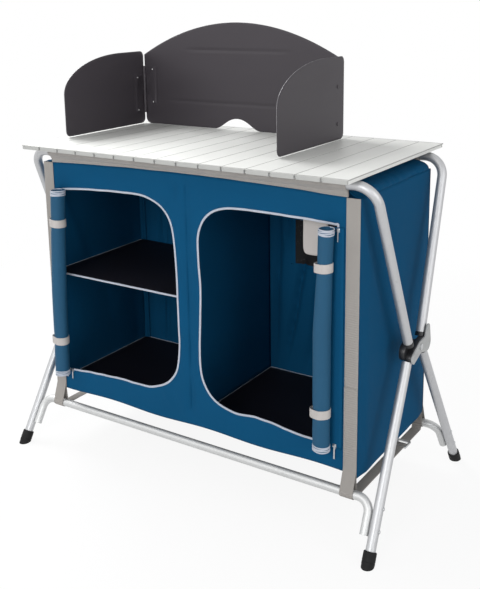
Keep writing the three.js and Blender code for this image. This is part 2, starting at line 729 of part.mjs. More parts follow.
function sidePanel() {
  const outline = foldedSheet(PANEL_INNER_Y - SEAT_GAP, SIDE_FOLDS, STRAP_WIDTH / 2);
  return prismZ(outline, SIDE_BOTTOM_Z, PANEL_TOP_Z - SEAT_GAP)
    .rotateZ(-Math.PI / 2)
    .translate(SIDE_INNER_X, 0, 0);
}

function rearPanel() {
  const sheet = solid(
    prismZ(
      foldedSheet(CABINET_HALF_WIDTH, REAR_FOLDS, STRAP_WIDTH + STILL_EDGE),
      CABINET_BOTTOM_Z,
      PANEL_TOP_Z - SEAT_GAP,
    ).translate(0, PANEL_INNER_Y, 0),
  );
  const far = CABINET_FACE_Y + FOLD_DEPTH + OVERRUN;
  const opening = solid(
    prismY(
      rectangle(MESH_LEFT_X, MESH_BOTTOM_Z, MESH_RIGHT_X, MESH_TOP_Z),
      PANEL_INNER_Y - OVERRUN,
      far,
    ),
  );
  const across = Math.floor((MESH_RIGHT_X - MESH_LEFT_X) / MESH_PITCH);
  const up = Math.floor((MESH_TOP_Z - MESH_BOTTOM_Z) / MESH_PITCH);
  const low = MESH_BOTTOM_Z - MESH_HEM;
  const high = MESH_TOP_Z + MESH_HEM;
  const left = MESH_LEFT_X - MESH_HEM;
  const right = MESH_RIGHT_X + MESH_HEM;
  const strand = (x0, z0, x1, z1) =>
    solid(prismY(rectangle(x0, z0, x1, z1), PANEL_INNER_Y, CABINET_FACE_Y));
  const hem = strand(left, low, right, high).subtract(opening);
  let net = hem;
  for (let i = 0; i <= across; i++) {
    const x = MESH_LEFT_X + (i * (MESH_RIGHT_X - MESH_LEFT_X)) / across;
    net = net.add(strand(x - MESH_STRAND / 2, low, x + MESH_STRAND / 2, high));
  }
  for (let k = 0; k <= up; k++) {
    const z = MESH_BOTTOM_Z + (k * (MESH_TOP_Z - MESH_BOTTOM_Z)) / up;
    net = net.add(strand(left, z - MESH_STRAND / 2, right, z + MESH_STRAND / 2));
  }
  return sheet.subtract(opening).add(net);
}

function dividerPanel() {
  return prismX(
    rectangle(
      -PANEL_INNER_Y + SEAT_GAP,
      FLOOR_TOP_Z + SEAT_GAP,
      PANEL_INNER_Y - SEAT_GAP,
      RAIL_Z - SLEEVE_RADIUS - SEAT_GAP,
    ),
    -FABRIC / 2,
    FABRIC / 2,
  );
}

function roof() {
  const drop = ROOF_Z - FABRIC / 2;
  const end = new THREE.Vector2(CABINET_HALF_WIDTH - FABRIC / 2, PANEL_TOP_Z);
  const half = new THREE.QuadraticBezierCurve(
    new THREE.Vector2(ROOF_FLAT_HALF, drop),
    new THREE.Vector2(CABINET_HALF_WIDTH - FABRIC / 2, drop),
    end,
  ).getPoints(BEND_STEPS);
  const sag = (x) => ROOF_SAG * (1 - (x / ROOF_FLAT_HALF) ** 2);
  const middle = [];
  for (let i = 1 - ROOF_STEPS; i < ROOF_STEPS; i++) {
    const x = (ROOF_FLAT_HALF * i) / ROOF_STEPS;
    middle.push(new THREE.Vector2(x, drop - sag(x)));
  }
  const line = [...half.map((p) => new THREE.Vector2(-p.x, p.y)).reverse(), ...middle, ...half];
  const reach = RAIL_Y - SLEEVE_RADIUS;
  return prismY(ribbon(line, FABRIC), -reach, reach);
}

function floorBoard() {
  const x = SIDE_INNER_X - SEAT_GAP;
  const y = PANEL_INNER_Y - SEAT_GAP;
  return prismZ(rectangle(-x, -y, x, y), FLOOR_TOP_Z - FLOOR_THICKNESS, FLOOR_TOP_Z);
}

function shelf() {
  const y = PANEL_INNER_Y - SEAT_GAP;
  const outline = rectangle(
    -SIDE_INNER_X + SEAT_GAP,
    -y + SHELF_SETBACK,
    -FABRIC / 2 - SEAT_GAP,
    y,
  );
  return prismZ(outline, SHELF_TOP_Z - SHELF_THICKNESS, SHELF_TOP_Z);
}

// A door rolled up and held by bands: a spiral of cloth, wound from its core to its outside,
// whose end runs on to the seam on the panel.
function doorRoll({ x, radius, bottom, bands }) {
  const steps = ROLL_TURNS * ROLL_STEPS;
  const outer = radius - ROLL_FABRIC / 2;
  const points = Array.from({ length: steps + 1 }, (_, i) => {
    const angle = Math.PI / 2 - (2 * Math.PI * (steps - i)) / ROLL_STEPS;
    const reach = ROLL_CORE_RADIUS + ((outer - ROLL_CORE_RADIUS) * i) / steps;
    return new THREE.Vector2(reach * Math.cos(angle), reach * Math.sin(angle));
  });
  points.push(new THREE.Vector2(Math.abs(x) - DOOR_SEAM_X, outer + ROLL_BAND_THICKNESS));
  if (x > 0) for (const point of points) point.x = -point.x;
  const pieces = [prismZ(ribbon(points, ROLL_FABRIC), bottom, ROLL_TOP_Z)];
  for (const z of bands) {
    const outline = new THREE.Shape(ring(radius + ROLL_BAND_THICKNESS, 2 * ROUND_SIDES));
    outline.holes.push(new THREE.Path(ring(radius - ROLL_FABRIC / 2, 2 * ROUND_SIDES)));
    pieces.push(prismZ(outline, z - ROLL_BAND_WIDTH / 2, z + ROLL_BAND_WIDTH / 2));
  }
  const y = -CABINET_FACE_Y - SEAT_GAP - ROLL_BAND_THICKNESS - radius;
  return joined(pieces).translate([x, y, 0]);
}

// A corner strap: down the panel, round the crossbar and back up on itself to the join.
function cornerStrap(way) {
  const near = CABINET_FACE_Y + SEAT_GAP + STRAP_THICKNESS / 2;
  const flats = Math.cos(Math.PI / 2 / STRAP_TURN_STEPS);
  const loop = (CROSSBAR_RADIUS + SEAT_GAP) / flats + STRAP_THICKNESS / 2;
  const turn = Array.from({ length: STRAP_TURN_STEPS + 1 }, (_, i) => {
    const angle = Math.PI + (Math.PI * i) / STRAP_TURN_STEPS;
    return new THREE.Vector2(BAR_Y + loop * Math.cos(angle), CROSSBAR_Z + loop * Math.sin(angle));
  });
  const line = [
    new THREE.Vector2(near, PANEL_TOP_Z),
    new THREE.Vector2(near, CABINET_BOTTOM_Z),
    ...turn,
    new THREE.Vector2(near + STRAP_THICKNESS * STRAP_LAP_SHARE, STRAP_MEET_Z),
  ];
  const placed = line.map((p) => new THREE.Vector2(way * p.x, p.y));
  const outer = near + 1.5 * STRAP_THICKNESS;
  const lap = rectangle(
    Math.min(way * near, way * outer),
    STRAP_MEET_Z - STRAP_THICKNESS,
    Math.max(way * near, way * outer),
    STRAP_JOIN_Z,
  );
  return joined([
    prismX(ribbon(placed, STRAP_THICKNESS), STRAP_INNER_X, CABINET_HALF_WIDTH),
    prismX(lap, STRAP_INNER_X, CABINET_HALF_WIDTH),
  ]);
}

// A strap under the cabinet between the loops of two corner straps.
function bottomStrap() {
  const end = BAR_Y - CROSSBAR_RADIUS - 2 * SEAT_GAP - STRAP_THICKNESS * 1.5;
  const low = BOTTOM_STRAP_Z;
  const line = [
    new THREE.Vector2(-end, CROSSBAR_Z),
    new THREE.Vector2(-end + BOTTOM_STRAP_RAMP, low),
    new THREE.Vector2(end - BOTTOM_STRAP_RAMP, low),
    new THREE.Vector2(end, CROSSBAR_Z),
  ];
  return prismX(
    ribbon(line, STRAP_THICKNESS),
    BOTTOM_STRAP_X - BOTTOM_STRAP_WIDTH / 2,
    BOTTOM_STRAP_X + BOTTOM_STRAP_WIDTH / 2,
  );
}

// The ladder buckle: a frame with a middle bar, which the strap runs through.
function buckle() {
  const outer = BOTTOM_STRAP_WIDTH / 2 + BUCKLE_RIM;
  const inner = BOTTOM_STRAP_WIDTH / 2;
  const frame = rectangle(-outer, -BUCKLE_LENGTH / 2, outer, BUCKLE_LENGTH / 2);
  const window = BUCKLE_LENGTH / 2 - BUCKLE_RIM;
  frame.holes.push(rectangle(-inner, BUCKLE_RIM / 2, inner, window));
  frame.holes.push(rectangle(-inner, -window, inner, -BUCKLE_RIM / 2));
  return prismZ(
    frame,
    BOTTOM_STRAP_Z - BUCKLE_THICKNESS / 2,
    BOTTOM_STRAP_Z + BUCKLE_THICKNESS / 2,
  ).translate(BOTTOM_STRAP_X, BUCKLE_Y, 0);
}

function cabinet() {
  const group = new THREE.Group();
  group.add(mesh("front_sleeve", sleeve(-1), "webbing"));
  group.add(mesh("rear_sleeve", sleeve(1), "webbing"));
  group.add(mesh("front_panel", frontPanel(), "fabric"));
  group.add(mesh("rear_panel", rearPanel(), "fabric"));
  pair(group, "side_panel", sidePanel(), "fabric");
  group.add(mesh("divider_panel", dividerPanel(), "fabric"));
  group.add(mesh("roof", roof(), "fabric"));
  group.add(mesh("floor_board", floorBoard(), "board"));
  group.add(mesh("shelf", shelf(), "board"));
  group.add(mesh("door_roll_left", doorRoll(LEFT_ROLL), "roll"));
  group.add(mesh("door_roll_right", doorRoll(RIGHT_ROLL), "roll"));
  pair(group, "front_corner_strap", cornerStrap(-1), "webbing");
  pair(group, "rear_corner_strap", cornerStrap(1), "webbing");
  const plain = mesh("bottom_strap_left", bottomStrap(), "webbing");
  plain.scale.x = -1;
  const buckled = joined([bottomStrap(), buckle()]);
  group.add(plain, mesh("bottom_strap_right", buckled, "webbing"));
  return group;
}

// Windscreen, drawn with its middle at x = 0 and the worktop's surface at z = 0

function rivets(x, from, to, middle) {
  return [-1, 1].flatMap((way) => {
    const at = (y) => new THREE.Vector3(x, y, middle + (way * RIVET_SPREAD) / 2);
    return [
      rod(at(from), at(to), RIVET_RADIUS, BORE_SIDES),
      rod(at(from - RIVET_HEAD_THICKNESS), at(from), RIVET_HEAD_RADIUS, BORE_SIDES),
      rod(at(to), at(to + RIVET_HEAD_THICKNESS), RIVET_HEAD_RADIUS, BORE_SIDES),
    ];
  });
}

function rivetHoles(x, from, to, middle) {
  return [-1, 1].map((way) => {
    const at = (y) => new THREE.Vector3(x, y, middle + (way * RIVET_SPREAD) / 2);
    return solid(bore(at(from - OVERRUN), at(to + OVERRUN), RIVET_RADIUS + SEAT_GAP, BORE_SIDES));
  });
}

const PANEL_LEAF_BASE = KNUCKLE_BASE + KNUCKLE_HEIGHT;
const PANEL_RIVET_X = HINGE_X - RIVET_FROM_HINGE;
const PANEL_RIVET_Z = PANEL_LEAF_BASE + LEAF_HEIGHT / 2;
const WING_RIVET_Z = KNUCKLE_BASE + LEAF_HEIGHT / 2;

function backPanel() {
  const half = SCREEN_WIDTH / 2;
  const side = new THREE.Vector2(half, SCREEN_SIDE_HEIGHT);
  const peakPull = new THREE.Vector2(0, 2 * SCREEN_PEAK_HEIGHT - SCREEN_SIDE_HEIGHT);
  const otherSide = new THREE.Vector2(-half, SCREEN_SIDE_HEIGHT);
  const arch = new THREE.QuadraticBezierCurve(side, peakPull, otherSide).getPoints(CURVE_STEPS);
  const pull = SEAT_GAP + (4 * SCREEN_NOTCH_HEIGHT) / 3;
  const notch = new THREE.CubicBezierCurve(
    new THREE.Vector2(-SCREEN_NOTCH_HALF, SEAT_GAP),
    new THREE.Vector2(-SCREEN_NOTCH_HALF * SCREEN_NOTCH_SHARE, pull),
    new THREE.Vector2(SCREEN_NOTCH_HALF * SCREEN_NOTCH_SHARE, pull),
    new THREE.Vector2(SCREEN_NOTCH_HALF, SEAT_GAP),
  ).getPoints(ROUND_SIDES);
  const low = SCREEN_CORNER + SEAT_GAP;
  const outline = new THREE.Shape();
  outline.moveTo(SCREEN_NOTCH_HALF, SEAT_GAP);
  outline.lineTo(half - SCREEN_CORNER, SEAT_GAP);
  outline.absarc(half - SCREEN_CORNER, low, SCREEN_CORNER, -Math.PI / 2, 0);
  for (const point of arch) outline.lineTo(point.x, point.y);
  outline.lineTo(-half, low);
  outline.absarc(-half + SCREEN_CORNER, low, SCREEN_CORNER, Math.PI, 1.5 * Math.PI);
  for (const point of notch.slice(0, -1)) outline.lineTo(point.x, point.y);
  const far = SCREEN_FACE_Y + SHEET;
  let body = solid(prismY(outline, SCREEN_FACE_Y, far));
  for (const shares of SCREEN_RIB_SHARES) {
    const reach = half * shares.half;
    const height = SCREEN_PEAK_HEIGHT * shares.height;
    const end = SCREEN_RIB_WIDTH / 2;
    const bead = discPair([-reach, height, end], [reach, height, end], BEND_STEPS);
    body = body.add(solid(prismY(bead, SCREEN_FACE_Y, far + SCREEN_RIB_RISE)));
  }
  for (const x of [-PANEL_RIVET_X, PANEL_RIVET_X])
    for (const hole of rivetHoles(x, SCREEN_FACE_Y, far, PANEL_RIVET_Z)) body = body.subtract(hole);
  return body;
}

// A hinge leaf with its hinge axis on z, lying along +x behind the axis. First is the number of
// its lowest knuckle, counted up from the bottom, and every second one is its own.
function hingeLeaf(first, rivetSeat) {
  const base = KNUCKLE_BASE + first * KNUCKLE_HEIGHT;
  const face = KNUCKLE_RADIUS - SHEET;
  const plate = solid(
    prismY(
      roundedRectangle(0, base, HINGE_LEAF_WIDTH, base + LEAF_HEIGHT, [
        SHEET,
        HINGE_LEAF_CORNER,
        HINGE_LEAF_CORNER,
        SHEET,
      ]),
      face,
      KNUCKLE_RADIUS,
    ),
  );
  const at = (z) => new THREE.Vector3(0, 0, z);
  const clear = KNUCKLE_RADIUS + RUNNING_GAP;
  let body = plate;
  for (let i = 0; i < KNUCKLE_COUNT; i++) {
    const low = KNUCKLE_BASE + i * KNUCKLE_HEIGHT;
    const high = low + KNUCKLE_HEIGHT;
    const mine = i % 2 === first % 2;
    if (mine)
      body = body.add(solid(rod(at(low + RUNNING_GAP), at(high - RUNNING_GAP), KNUCKLE_RADIUS)));
    else
      body = body.subtract(
        solid(bore(at(low - RUNNING_GAP / 2), at(high + RUNNING_GAP / 2), clear, BORE_SIDES)),
      );
  }
  const [rivetMiddle, rivetFar] = rivetSeat;
  for (const piece of rivets(RIVET_FROM_HINGE, face, rivetFar, rivetMiddle))
    body = body.add(solid(piece));
  return body;
}

function panelLeaf() {
  const far = KNUCKLE_OFFSET + SHEET + SEAT_GAP;
  const at = (z) => new THREE.Vector3(0, 0, z);
  const top = KNUCKLE_BASE + KNUCKLE_COUNT * KNUCKLE_HEIGHT;
  return hingeLeaf(1, [PANEL_RIVET_Z, far]).add(
    solid(rod(at(KNUCKLE_BASE), at(top), HINGE_PIN_RADIUS, BORE_SIDES)),
  );
}

function wingLeaf() {
  const far = KNUCKLE_OFFSET + SHEET + SEAT_GAP;
  const at = (z) => new THREE.Vector3(0, 0, z);
  const top = KNUCKLE_BASE + KNUCKLE_COUNT * KNUCKLE_HEIGHT + OVERRUN;
  const pin = bore(at(KNUCKLE_BASE - OVERRUN), at(top), HINGE_PIN_RADIUS + SEAT_GAP, BORE_SIDES);
  return hingeLeaf(0, [WING_RIVET_Z, far]).subtract(solid(pin));
}

// A wing lying along +x behind its hinge axis, to be turned into place.
function wing() {
  const rear = WING_REAR_GAP - KNUCKLE_OFFSET;
  const front = rear + WING_LENGTH;
  const top = WING_BASE + WING_HEIGHT;
  const low = WING_BASE + WING_FRONT_HEIGHT;
  const outline = new THREE.Shape();
  outline.moveTo(rear + WING_CORNER, WING_BASE);
  outline.lineTo(front - WING_CORNER, WING_BASE);
  outline.absarc(front - WING_CORNER, WING_BASE + WING_CORNER, WING_CORNER, -Math.PI / 2, 0);
  const sweep = new THREE.CubicBezierCurve(
    new THREE.Vector2(front, low),
    new THREE.Vector2(front, low + (top - low) * WING_SWEEP_START_SHARE),
    new THREE.Vector2(front - WING_SWEEP * WING_SWEEP_PULL_SHARE, top),
    new THREE.Vector2(front - WING_SWEEP, top),
  ).getPoints(CURVE_STEPS);
  for (const point of sweep) outline.lineTo(point.x, point.y);
  outline.lineTo(rear + WING_CORNER, top);
  outline.absarc(rear + WING_CORNER, top - WING_CORNER, WING_CORNER, Math.PI / 2, Math.PI);
  outline.lineTo(rear, WING_BASE + WING_CORNER);
  outline.absarc(rear + WING_CORNER, WING_BASE + WING_CORNER, WING_CORNER, Math.PI, 1.5 * Math.PI);
  const far = KNUCKLE_OFFSET + SHEET;
  let body = solid(prismY(outline, KNUCKLE_OFFSET, far));
  for (const hole of rivetHoles(RIVET_FROM_HINGE, KNUCKLE_OFFSET, far, WING_RIVET_Z))
    body = body.subtract(hole);
  return body;
}

function windscreen() {
  const group = new THREE.Group();
  group.position.set(SCREEN_X, 0, TOP_HEIGHT);
  group.add(mesh("windscreen_back", backPanel(), "screen"));
  const leaf = geometryOf(panelLeaf());
  const swing = geometryOf(wingLeaf());
  const sheet = geometryOf(wing());
  for (const [name, way] of [["left", -1], ["right", 1]]) {
    const corner = new THREE.Group();
    corner.position.set(way * HINGE_X, HINGE_Y, 0);
    corner.scale.x = -way;
    const turned = new THREE.Group();
    turned.rotation.z = -Math.PI / 2;
    turned.scale.y = -1;
    corner.add(mesh("windscreen_leaf_" + name, leaf, "screen"));
    turned.add(mesh("wing_leaf_" + name, swing, "screen"));
    turned.add(mesh("windscreen_wing_" + name, sheet, "screen"));
    corner.add(turned);
    group.add(corner);
  }
  return group;
}

const unit = new THREE.Group();
unit.add(worktop(), frontFrame(), rearFrame(), cabinet(), windscreen());

export default unit;
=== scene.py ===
"""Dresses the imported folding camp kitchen: smooth bent tubes, sewn cloth, webbing straps, rolled
doors, slats and a folding windscreen, each riding on its body. Lengths are metres."""

import math

import bmesh
import bpy
import numpy as np
from bpy.props import FloatProperty, FloatVectorProperty, PointerProperty
from bpy.types import Operator, Panel, PropertyGroup
from mathutils import Matrix, Vector, noise


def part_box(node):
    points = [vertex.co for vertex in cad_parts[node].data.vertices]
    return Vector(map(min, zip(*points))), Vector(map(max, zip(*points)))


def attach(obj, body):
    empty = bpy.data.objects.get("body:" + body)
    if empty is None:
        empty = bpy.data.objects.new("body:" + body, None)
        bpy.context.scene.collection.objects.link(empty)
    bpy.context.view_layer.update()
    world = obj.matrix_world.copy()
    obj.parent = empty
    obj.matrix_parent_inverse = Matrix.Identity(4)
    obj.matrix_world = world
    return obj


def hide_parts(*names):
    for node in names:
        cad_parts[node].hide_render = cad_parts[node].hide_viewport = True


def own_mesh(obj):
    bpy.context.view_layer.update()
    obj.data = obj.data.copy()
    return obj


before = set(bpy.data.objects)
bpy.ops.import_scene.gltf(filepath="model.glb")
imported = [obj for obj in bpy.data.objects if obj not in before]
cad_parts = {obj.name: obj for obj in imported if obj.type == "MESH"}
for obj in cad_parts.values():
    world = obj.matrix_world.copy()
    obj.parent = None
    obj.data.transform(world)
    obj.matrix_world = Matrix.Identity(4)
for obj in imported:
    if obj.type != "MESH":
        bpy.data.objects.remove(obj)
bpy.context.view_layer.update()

bl_info = {
    "name": "Folding Camp Kitchen",
    "version": (1, 0, 0),
    "blender": (4, 5, 0),
    "location": "View3D > Sidebar > Camp Kitchen",
    "description": "Dresses a folding camp kitchen with tubes, cloth, webbing and a windscreen",
    "category": "Object",
}

X = Vector((1, 0, 0))
Y = Vector((0, 1, 0))
Z = Vector((0, 0, 1))
SIDES = (("left", -1), ("right", 1))
WAYS = (("front", -1), ("rear", 1))

# Clearances and fineness
SEAT_GAP = 0.0003
RUNNING_GAP = 0.0004
TUBE_SIDES = 40
BEND_STEPS = 14
SMOOTH_ANGLE = 35
MERGE_DISTANCE = 1e-6
STRIP_SIDES = 32
STRIP_SQUARE = (0.35, 0.5)  # how square a strap's edges and its faces are: 1 is a plain oval
SNAP_SHARE = 0.72  # of a grid's step: vertices nearer than this move onto the outline
SLIVER_SHARE = 0.08
TINY = 1e-18
SUNK = 0.0002  # how deep a head sits in what it holds

# Finishes
# Width of the painted shade along each seam between slats
SLAT_SEAM_SHADE = 0.0012
WEBBING_RIB = 0.0024
HOOK_ROW = 0.0052
STITCH_ROW = (0.7715, 0.7726)  # its lower and upper edge
STITCH_PITCH = 0.0042
# Rivet heads: partly their own light metal, partly a painted glint, as a near white
RIVET_GLINT_WHITE = (0.86, 0.86, 0.86)

# Worktop
TOP_Z = 0.820
TOP_HALF_WIDTH = 0.45
# Where the slats' end faces and the worktop's outer sides begin, which carry painted shade
TOP_SHADED_END_X = 0.4496
TOP_SHADED_END_Y = 0.2496
SLAT_COUNT = 15
SLAT_PITCH = 0.06
SLAT_EDGE = 0.0003
BAND_STEP = 0.006
BAND_SPARE = 0.0006  # how much thinner the webbing is than its box
BAND_RIPPLE = 0.0002
BAND_RIPPLE_RUN = 0.0096
BAND_RIVET = (0.0032, 0.0016, 12)  # radius, height and sides
BAND_RIVET_INSET = 0.008

# Legs and crossbars
SOLE_Z = 0.009  # where a leg ends inside its foot cap
FOOT_RINGS = (  # a foot cap's outside: height along the leg, and how far it draws in
    (-0.022, 0.0006), (0.0030, 0.0006), (0.0046, 0.0), (0.0090, 0.0), (0.0094, 0.0006),
    (0.0102, 0.0006), (0.0106, 0.0), (0.0290, 0.0002), (0.0306, 0.0008), (0.0314, 0.0020),
)
FOOT_RIM = 0.0312
FOOT_BORE = 0.0120
FOOT_SIDES = 48
FOOT_CUT = 1e-7  # vertices this near the ground lie on it
SCREW_HEIGHTS = (0.063, 0.104)
SCREW_HEAD = (0.0042, 0.0024)  # radius and height

# Joints
JOINT_HALF = 0.013
PLATE = 0.003
HUB_RADIUS = 0.014
LOBE_RADIUS = 0.020
LOBE_Y = 0.038
LOBE_DROP = 0.003
ARM_RADIUS = 0.012
SHOULDER = 0.009
PLUG_LENGTH = 0.026
TONGUE_RADIUS = 0.009
TONGUE_RISE = 0.032
PIN_RADIUS = 0.004
PIN_HEAD = (0.007, 0.0024, 32)  # radius, height and sides
HOLE_SPARE = 0.01  # how far the tools that cut the hole stand out
MOULDING_EDGE = 0.0009
PLATE_EDGE = 0.0008

# Cabinet
PANEL_X = 0.446  # half width of the front and rear cloth
PANEL_LOW = 0.152
SIDE_Y = 0.1857  # half depth of the side cloth and the divider
DIVIDER_LOW = 0.1683
DIVIDER_TOP = 0.7843
ROOF_X = 0.452  # half width of the roof's cloth before it is bent over the walls
ROOF_Y = 0.1770
FRONT_STEP = 0.0065  # fineness of the front cloth
WALL_STEP = 0.0070  # of the rear, side and roof cloth
DIVIDER_STEP = 0.009
CLOTH = 0.0012
SLEEVE_CLOTH = 0.0012
SLEEVE_HALF_LENGTH = 0.417
SLEEVE_TAIL_LOW = 0.7692
SLEEVE_TAIL_TOP = 0.778
SLEEVE_STEPS = 120
SLEEVE_TURNS = 26
PANEL_Y = 0.187  # middle of the front and rear cloth
WALL_X = 0.445
PANEL_TOP = 0.7687
SIDE_BOTTOM = 0.146
FRONT_RISE = 0.010
ROOF_Z = 0.791
ROOF_FLAT = 0.390
ROOF_SAG = 0.003
STRAP_WIDTH = 0.032
STRAP_THICKNESS = 0.0012
STRAP_JOIN_Z = 0.355
STRAP_MEET_Z = 0.165
STRAP_TURN_END = 0.32  # radians past level, where a strap leaves its crossbar
STRAP_FACE = 0.188  # outer face of the front and rear cloth
STRAP_STEP = 0.012
BOTTOM_STRAP_X = 0.434
BOTTOM_STRAP_WIDTH = 0.025
BOTTOM_STRAP_Z = 0.100
BUCKLE_Y = 0.090
BUCKLE_SLOT = (0.0010, 0.0145)  # its open part, from its middle bar to its rear bar
BUCKLE_HALF = 0.017
BUCKLE_BAR = 0.004
BUCKLE_THICKNESS = 0.0052

# The piped edges of the doorways, as (x, z), loose as cloth is, from the upper outer corner inward
DOOR_EDGES = {"left": [
    (-0.402, 0.690), (-0.395, 0.700), (-0.330, 0.708), (-0.259, 0.713), (-0.190, 0.715),
    (-0.140, 0.715), (-0.105, 0.709), (-0.072, 0.694), (-0.048, 0.670), (-0.036, 0.636),
    (-0.031, 0.574), (-0.029, 0.495), (-0.028, 0.415), (-0.028, 0.354), (-0.036, 0.295),
    (-0.054, 0.262), (-0.080, 0.241), (-0.122, 0.225), (-0.160, 0.224), (-0.223, 0.222),
    (-0.305, 0.218), (-0.396, 0.211), (-0.407, 0.222), (-0.406, 0.400), (-0.403, 0.600),
], "right": [
    (0.395, 0.701), (0.387, 0.709), (0.320, 0.712), (0.231, 0.714), (0.165, 0.714),
    (0.124, 0.712), (0.090, 0.704), (0.066, 0.690), (0.048, 0.668), (0.036, 0.630),
    (0.036, 0.569), (0.038, 0.511), (0.037, 0.442), (0.031, 0.360), (0.034, 0.295),
    (0.054, 0.254), (0.086, 0.231), (0.135, 0.218), (0.189, 0.223), (0.264, 0.217),
    (0.331, 0.211), (0.384, 0.209), (0.397, 0.221), (0.402, 0.400), (0.400, 0.600),
]}
DOOR_EDGE_STEP = 0.004
BINDING = (0.0054, 0.0030)  # width and thickness
BINDING_OUT = 0.0002

# Outline of the hanging flap as (x, z)
FLAP_EDGE = [
    (0.292, 0.700), (0.292, 0.650), (0.294, 0.630), (0.303, 0.623), (0.330, 0.623),
    (0.352, 0.623), (0.352, 0.700), (0.352, 0.788), (0.322, 0.788), (0.292, 0.788),
]
FLAP_BOX = (0.290, 0.620, 0.354, 0.790)  # left, low, right, high
FLAP_Y = -0.150
FLAP_STEP = 0.004
FLAP_THICKNESS = 0.0010

# Boards, and the width and thickness of their bound edges and seams
BOARD_STEP = 0.010
BOARD_SAG = 0.0012
BOARD_EDGE = 0.0010
SHELF_BINDING = (0.0042, 0.0052)
SHELF_SIDE_BINDING = (0.0016, 0.0016)
FLOOR_SEAM = (0.0014, 0.0014)

# Loose folds of the rear corner seam: x, y, width
GATHERS = ((-0.4385, 0.1810, 0.011), (-0.4290, 0.1825, 0.007))

# Rolled doors: each roll's height, sideways place and radius from its lower end up, and the
# heights of the bands that hold it
ROLLS = {
    "left": {
        "side": -1,
        "line": ((0.202, -0.4040, 0.0200), (0.440, -0.3965, 0.0208), (0.705, -0.3820, 0.0192)),
        "bands": (0.619, 0.301),
    },
    "right": {
        "side": 1,
        "line": ((0.205, 0.3725, 0.0208), (0.479, 0.3725, 0.0216), (0.631, 0.3768, 0.0182),
                 (0.705, 0.3800, 0.0186)),
        "bands": (0.620, 0.294),
    },
}
ROLL_RINGS = 4  # turns whose bound hems show at each end
ROLL_RING_STEP = 0.0036
ROLL_TURNS = 4
ROLL_STEPS = 36
ROLL_CORE = 0.005
ROLL_CLOTH = 0.0014
ROLL_BACK = 0.0038  # from the front cloth's middle to the back of a roll
SEAM_OUT = 0.0022  # from the front cloth's middle to the seam that a roll hangs from
ROLL_ROWS = 60
ROLL_TAIL = 5  # steps from the roll to its seam
HEM_STEPS = 44
HEM_START = 0.0022  # from the roll's end to its first bound hem
HEM_SIZE = (0.0022, 0.0034)
BAND_SIZE = (0.0013, 0.020)
BAND_OUT = 0.0010
DOOR_SEAM_X = 0.410
MESH_WINDOW = (0.074, 0.474, 0.300, 0.604)  # left, low, right, high
WINDOW_SEAM = 0.004
WINDOW_TAPE = (0.010, 0.0012)
WINDOW_TAPE_OUT = {"outside": 0.0012, "inside": -0.0016}
WINDOW_CORNER = 0.006
NET_STEP = 0.008
NET_IN = 0.0006
NET_THICKNESS = 0.0005

# Zip pulls by side, as x, z, how far they stand out, and how far they hang
PULLS = {
    "left": ((-0.388, 0.210, 0.0002, 0.024), (-0.405, 0.212, 0.0002, 0.024)),
    "right": ((0.396, 0.698, 0.0030, 0.024), (0.393, 0.212, 0.0030, 0.031)),
}
PULL_BLOCK = (0.0090, 0.0040, 0.0085)
PULL_TAB = (0.0034, 0.0012)
METAL_EDGE = 0.0010

# Stage: each light's name, place, width and power
LIGHTS = (
    ("front_light", (0.5, -3.4, 1.7), 1.4, 50),
    ("left_light", (-2.6, -2.4, 2.4), 2.0, 20),
    ("right_light", (3.5, -1.2, 1.7), 2.4, 40),
    ("top_light", (-2.3, 0.5, 2.9), 1.6, 92),
)
LIT_SPOT = Vector((0, 0, 0.45))
CAMERA_PLACE = (1.195, -1.7628, 1.1645)
CAMERA_YAW = 0.5843
CAMERA_PITCH = -0.2240
CAMERA_ROLL = -0.0150
SENSOR = 36.0
PHOTO_HEIGHT = 589
FOCAL_PIXELS = 879.968
HORIZON_ROW = 200  # the row of the photograph that its lens looks straight at

# Windscreen, from the foot of its panels and the axis of each hinge
HINGE_REACH = 0.0048  # from the axis to a leaf's face
HINGE_GAP = 0.0028  # the axis stands this far beside the back panel
WING_GAP = 0.0014
RIBS = ((0.178, 0.212), (0.247, 0.070))  # half length and height of the pressed ribs
RIB_DEPTH = 0.0016
RIB_WIDTH = 0.0030
NOTCH = (0.074, 0.050, 0.034, 0.030)  # half width, its pull, the crown's pull, height
WING_BASE = 0.002
WING_LOW = 0.110
WING_SWEEP = 0.228
WING_CORNER = 0.0145
LEAF_EDGE = 0.0002
SHEET_EDGE = 0.0003
RIVET_Z = 0.087
RIVET_Z_BACK = 0.022  # this much higher on the back panel
RIVET_RUN = 0.028
RIVET_SPREAD = 0.046

# Creases of the rear cloth: upper x and z, lower x and z, half width, depth
REAR_CREASES = (
    (0.108, 0.500, 0.048, 0.220, 0.010, 0.0150),
    (0.030, 0.640, 0.014, 0.240, 0.009, 0.0120),
    (0.150, 0.430, 0.118, 0.200, 0.011, 0.0140),
    (0.062, 0.720, 0.052, 0.560, 0.010, 0.0110),
    (-0.372, 0.740, -0.388, 0.470, 0.008, 0.0070),
    (-0.340, 0.760, -0.352, 0.500, 0.009, 0.0070),
    (-0.366, 0.400, -0.384, 0.200, 0.010, 0.0070),
    (-0.200, 0.700, -0.230, 0.300, 0.013, 0.0090),
    (0.330, 0.620, 0.300, 0.220, 0.012, 0.0120),
)


def size(name, description, default):
    """A length that a user may change."""
    return FloatProperty(
        name=name, description=description, default=default, unit="LENGTH", subtype="DISTANCE"
    )


def tint(name, description, red, green, blue):
    """A colour that a user may change, given as it looks on a screen from 0 to 255."""
    linear = [((c / 255 + 0.055) / 1.055) ** 2.4 for c in (red, green, blue)]
    return FloatVectorProperty(
        name=name, description=description, default=linear, subtype="COLOR", size=3, min=0, max=1
    )


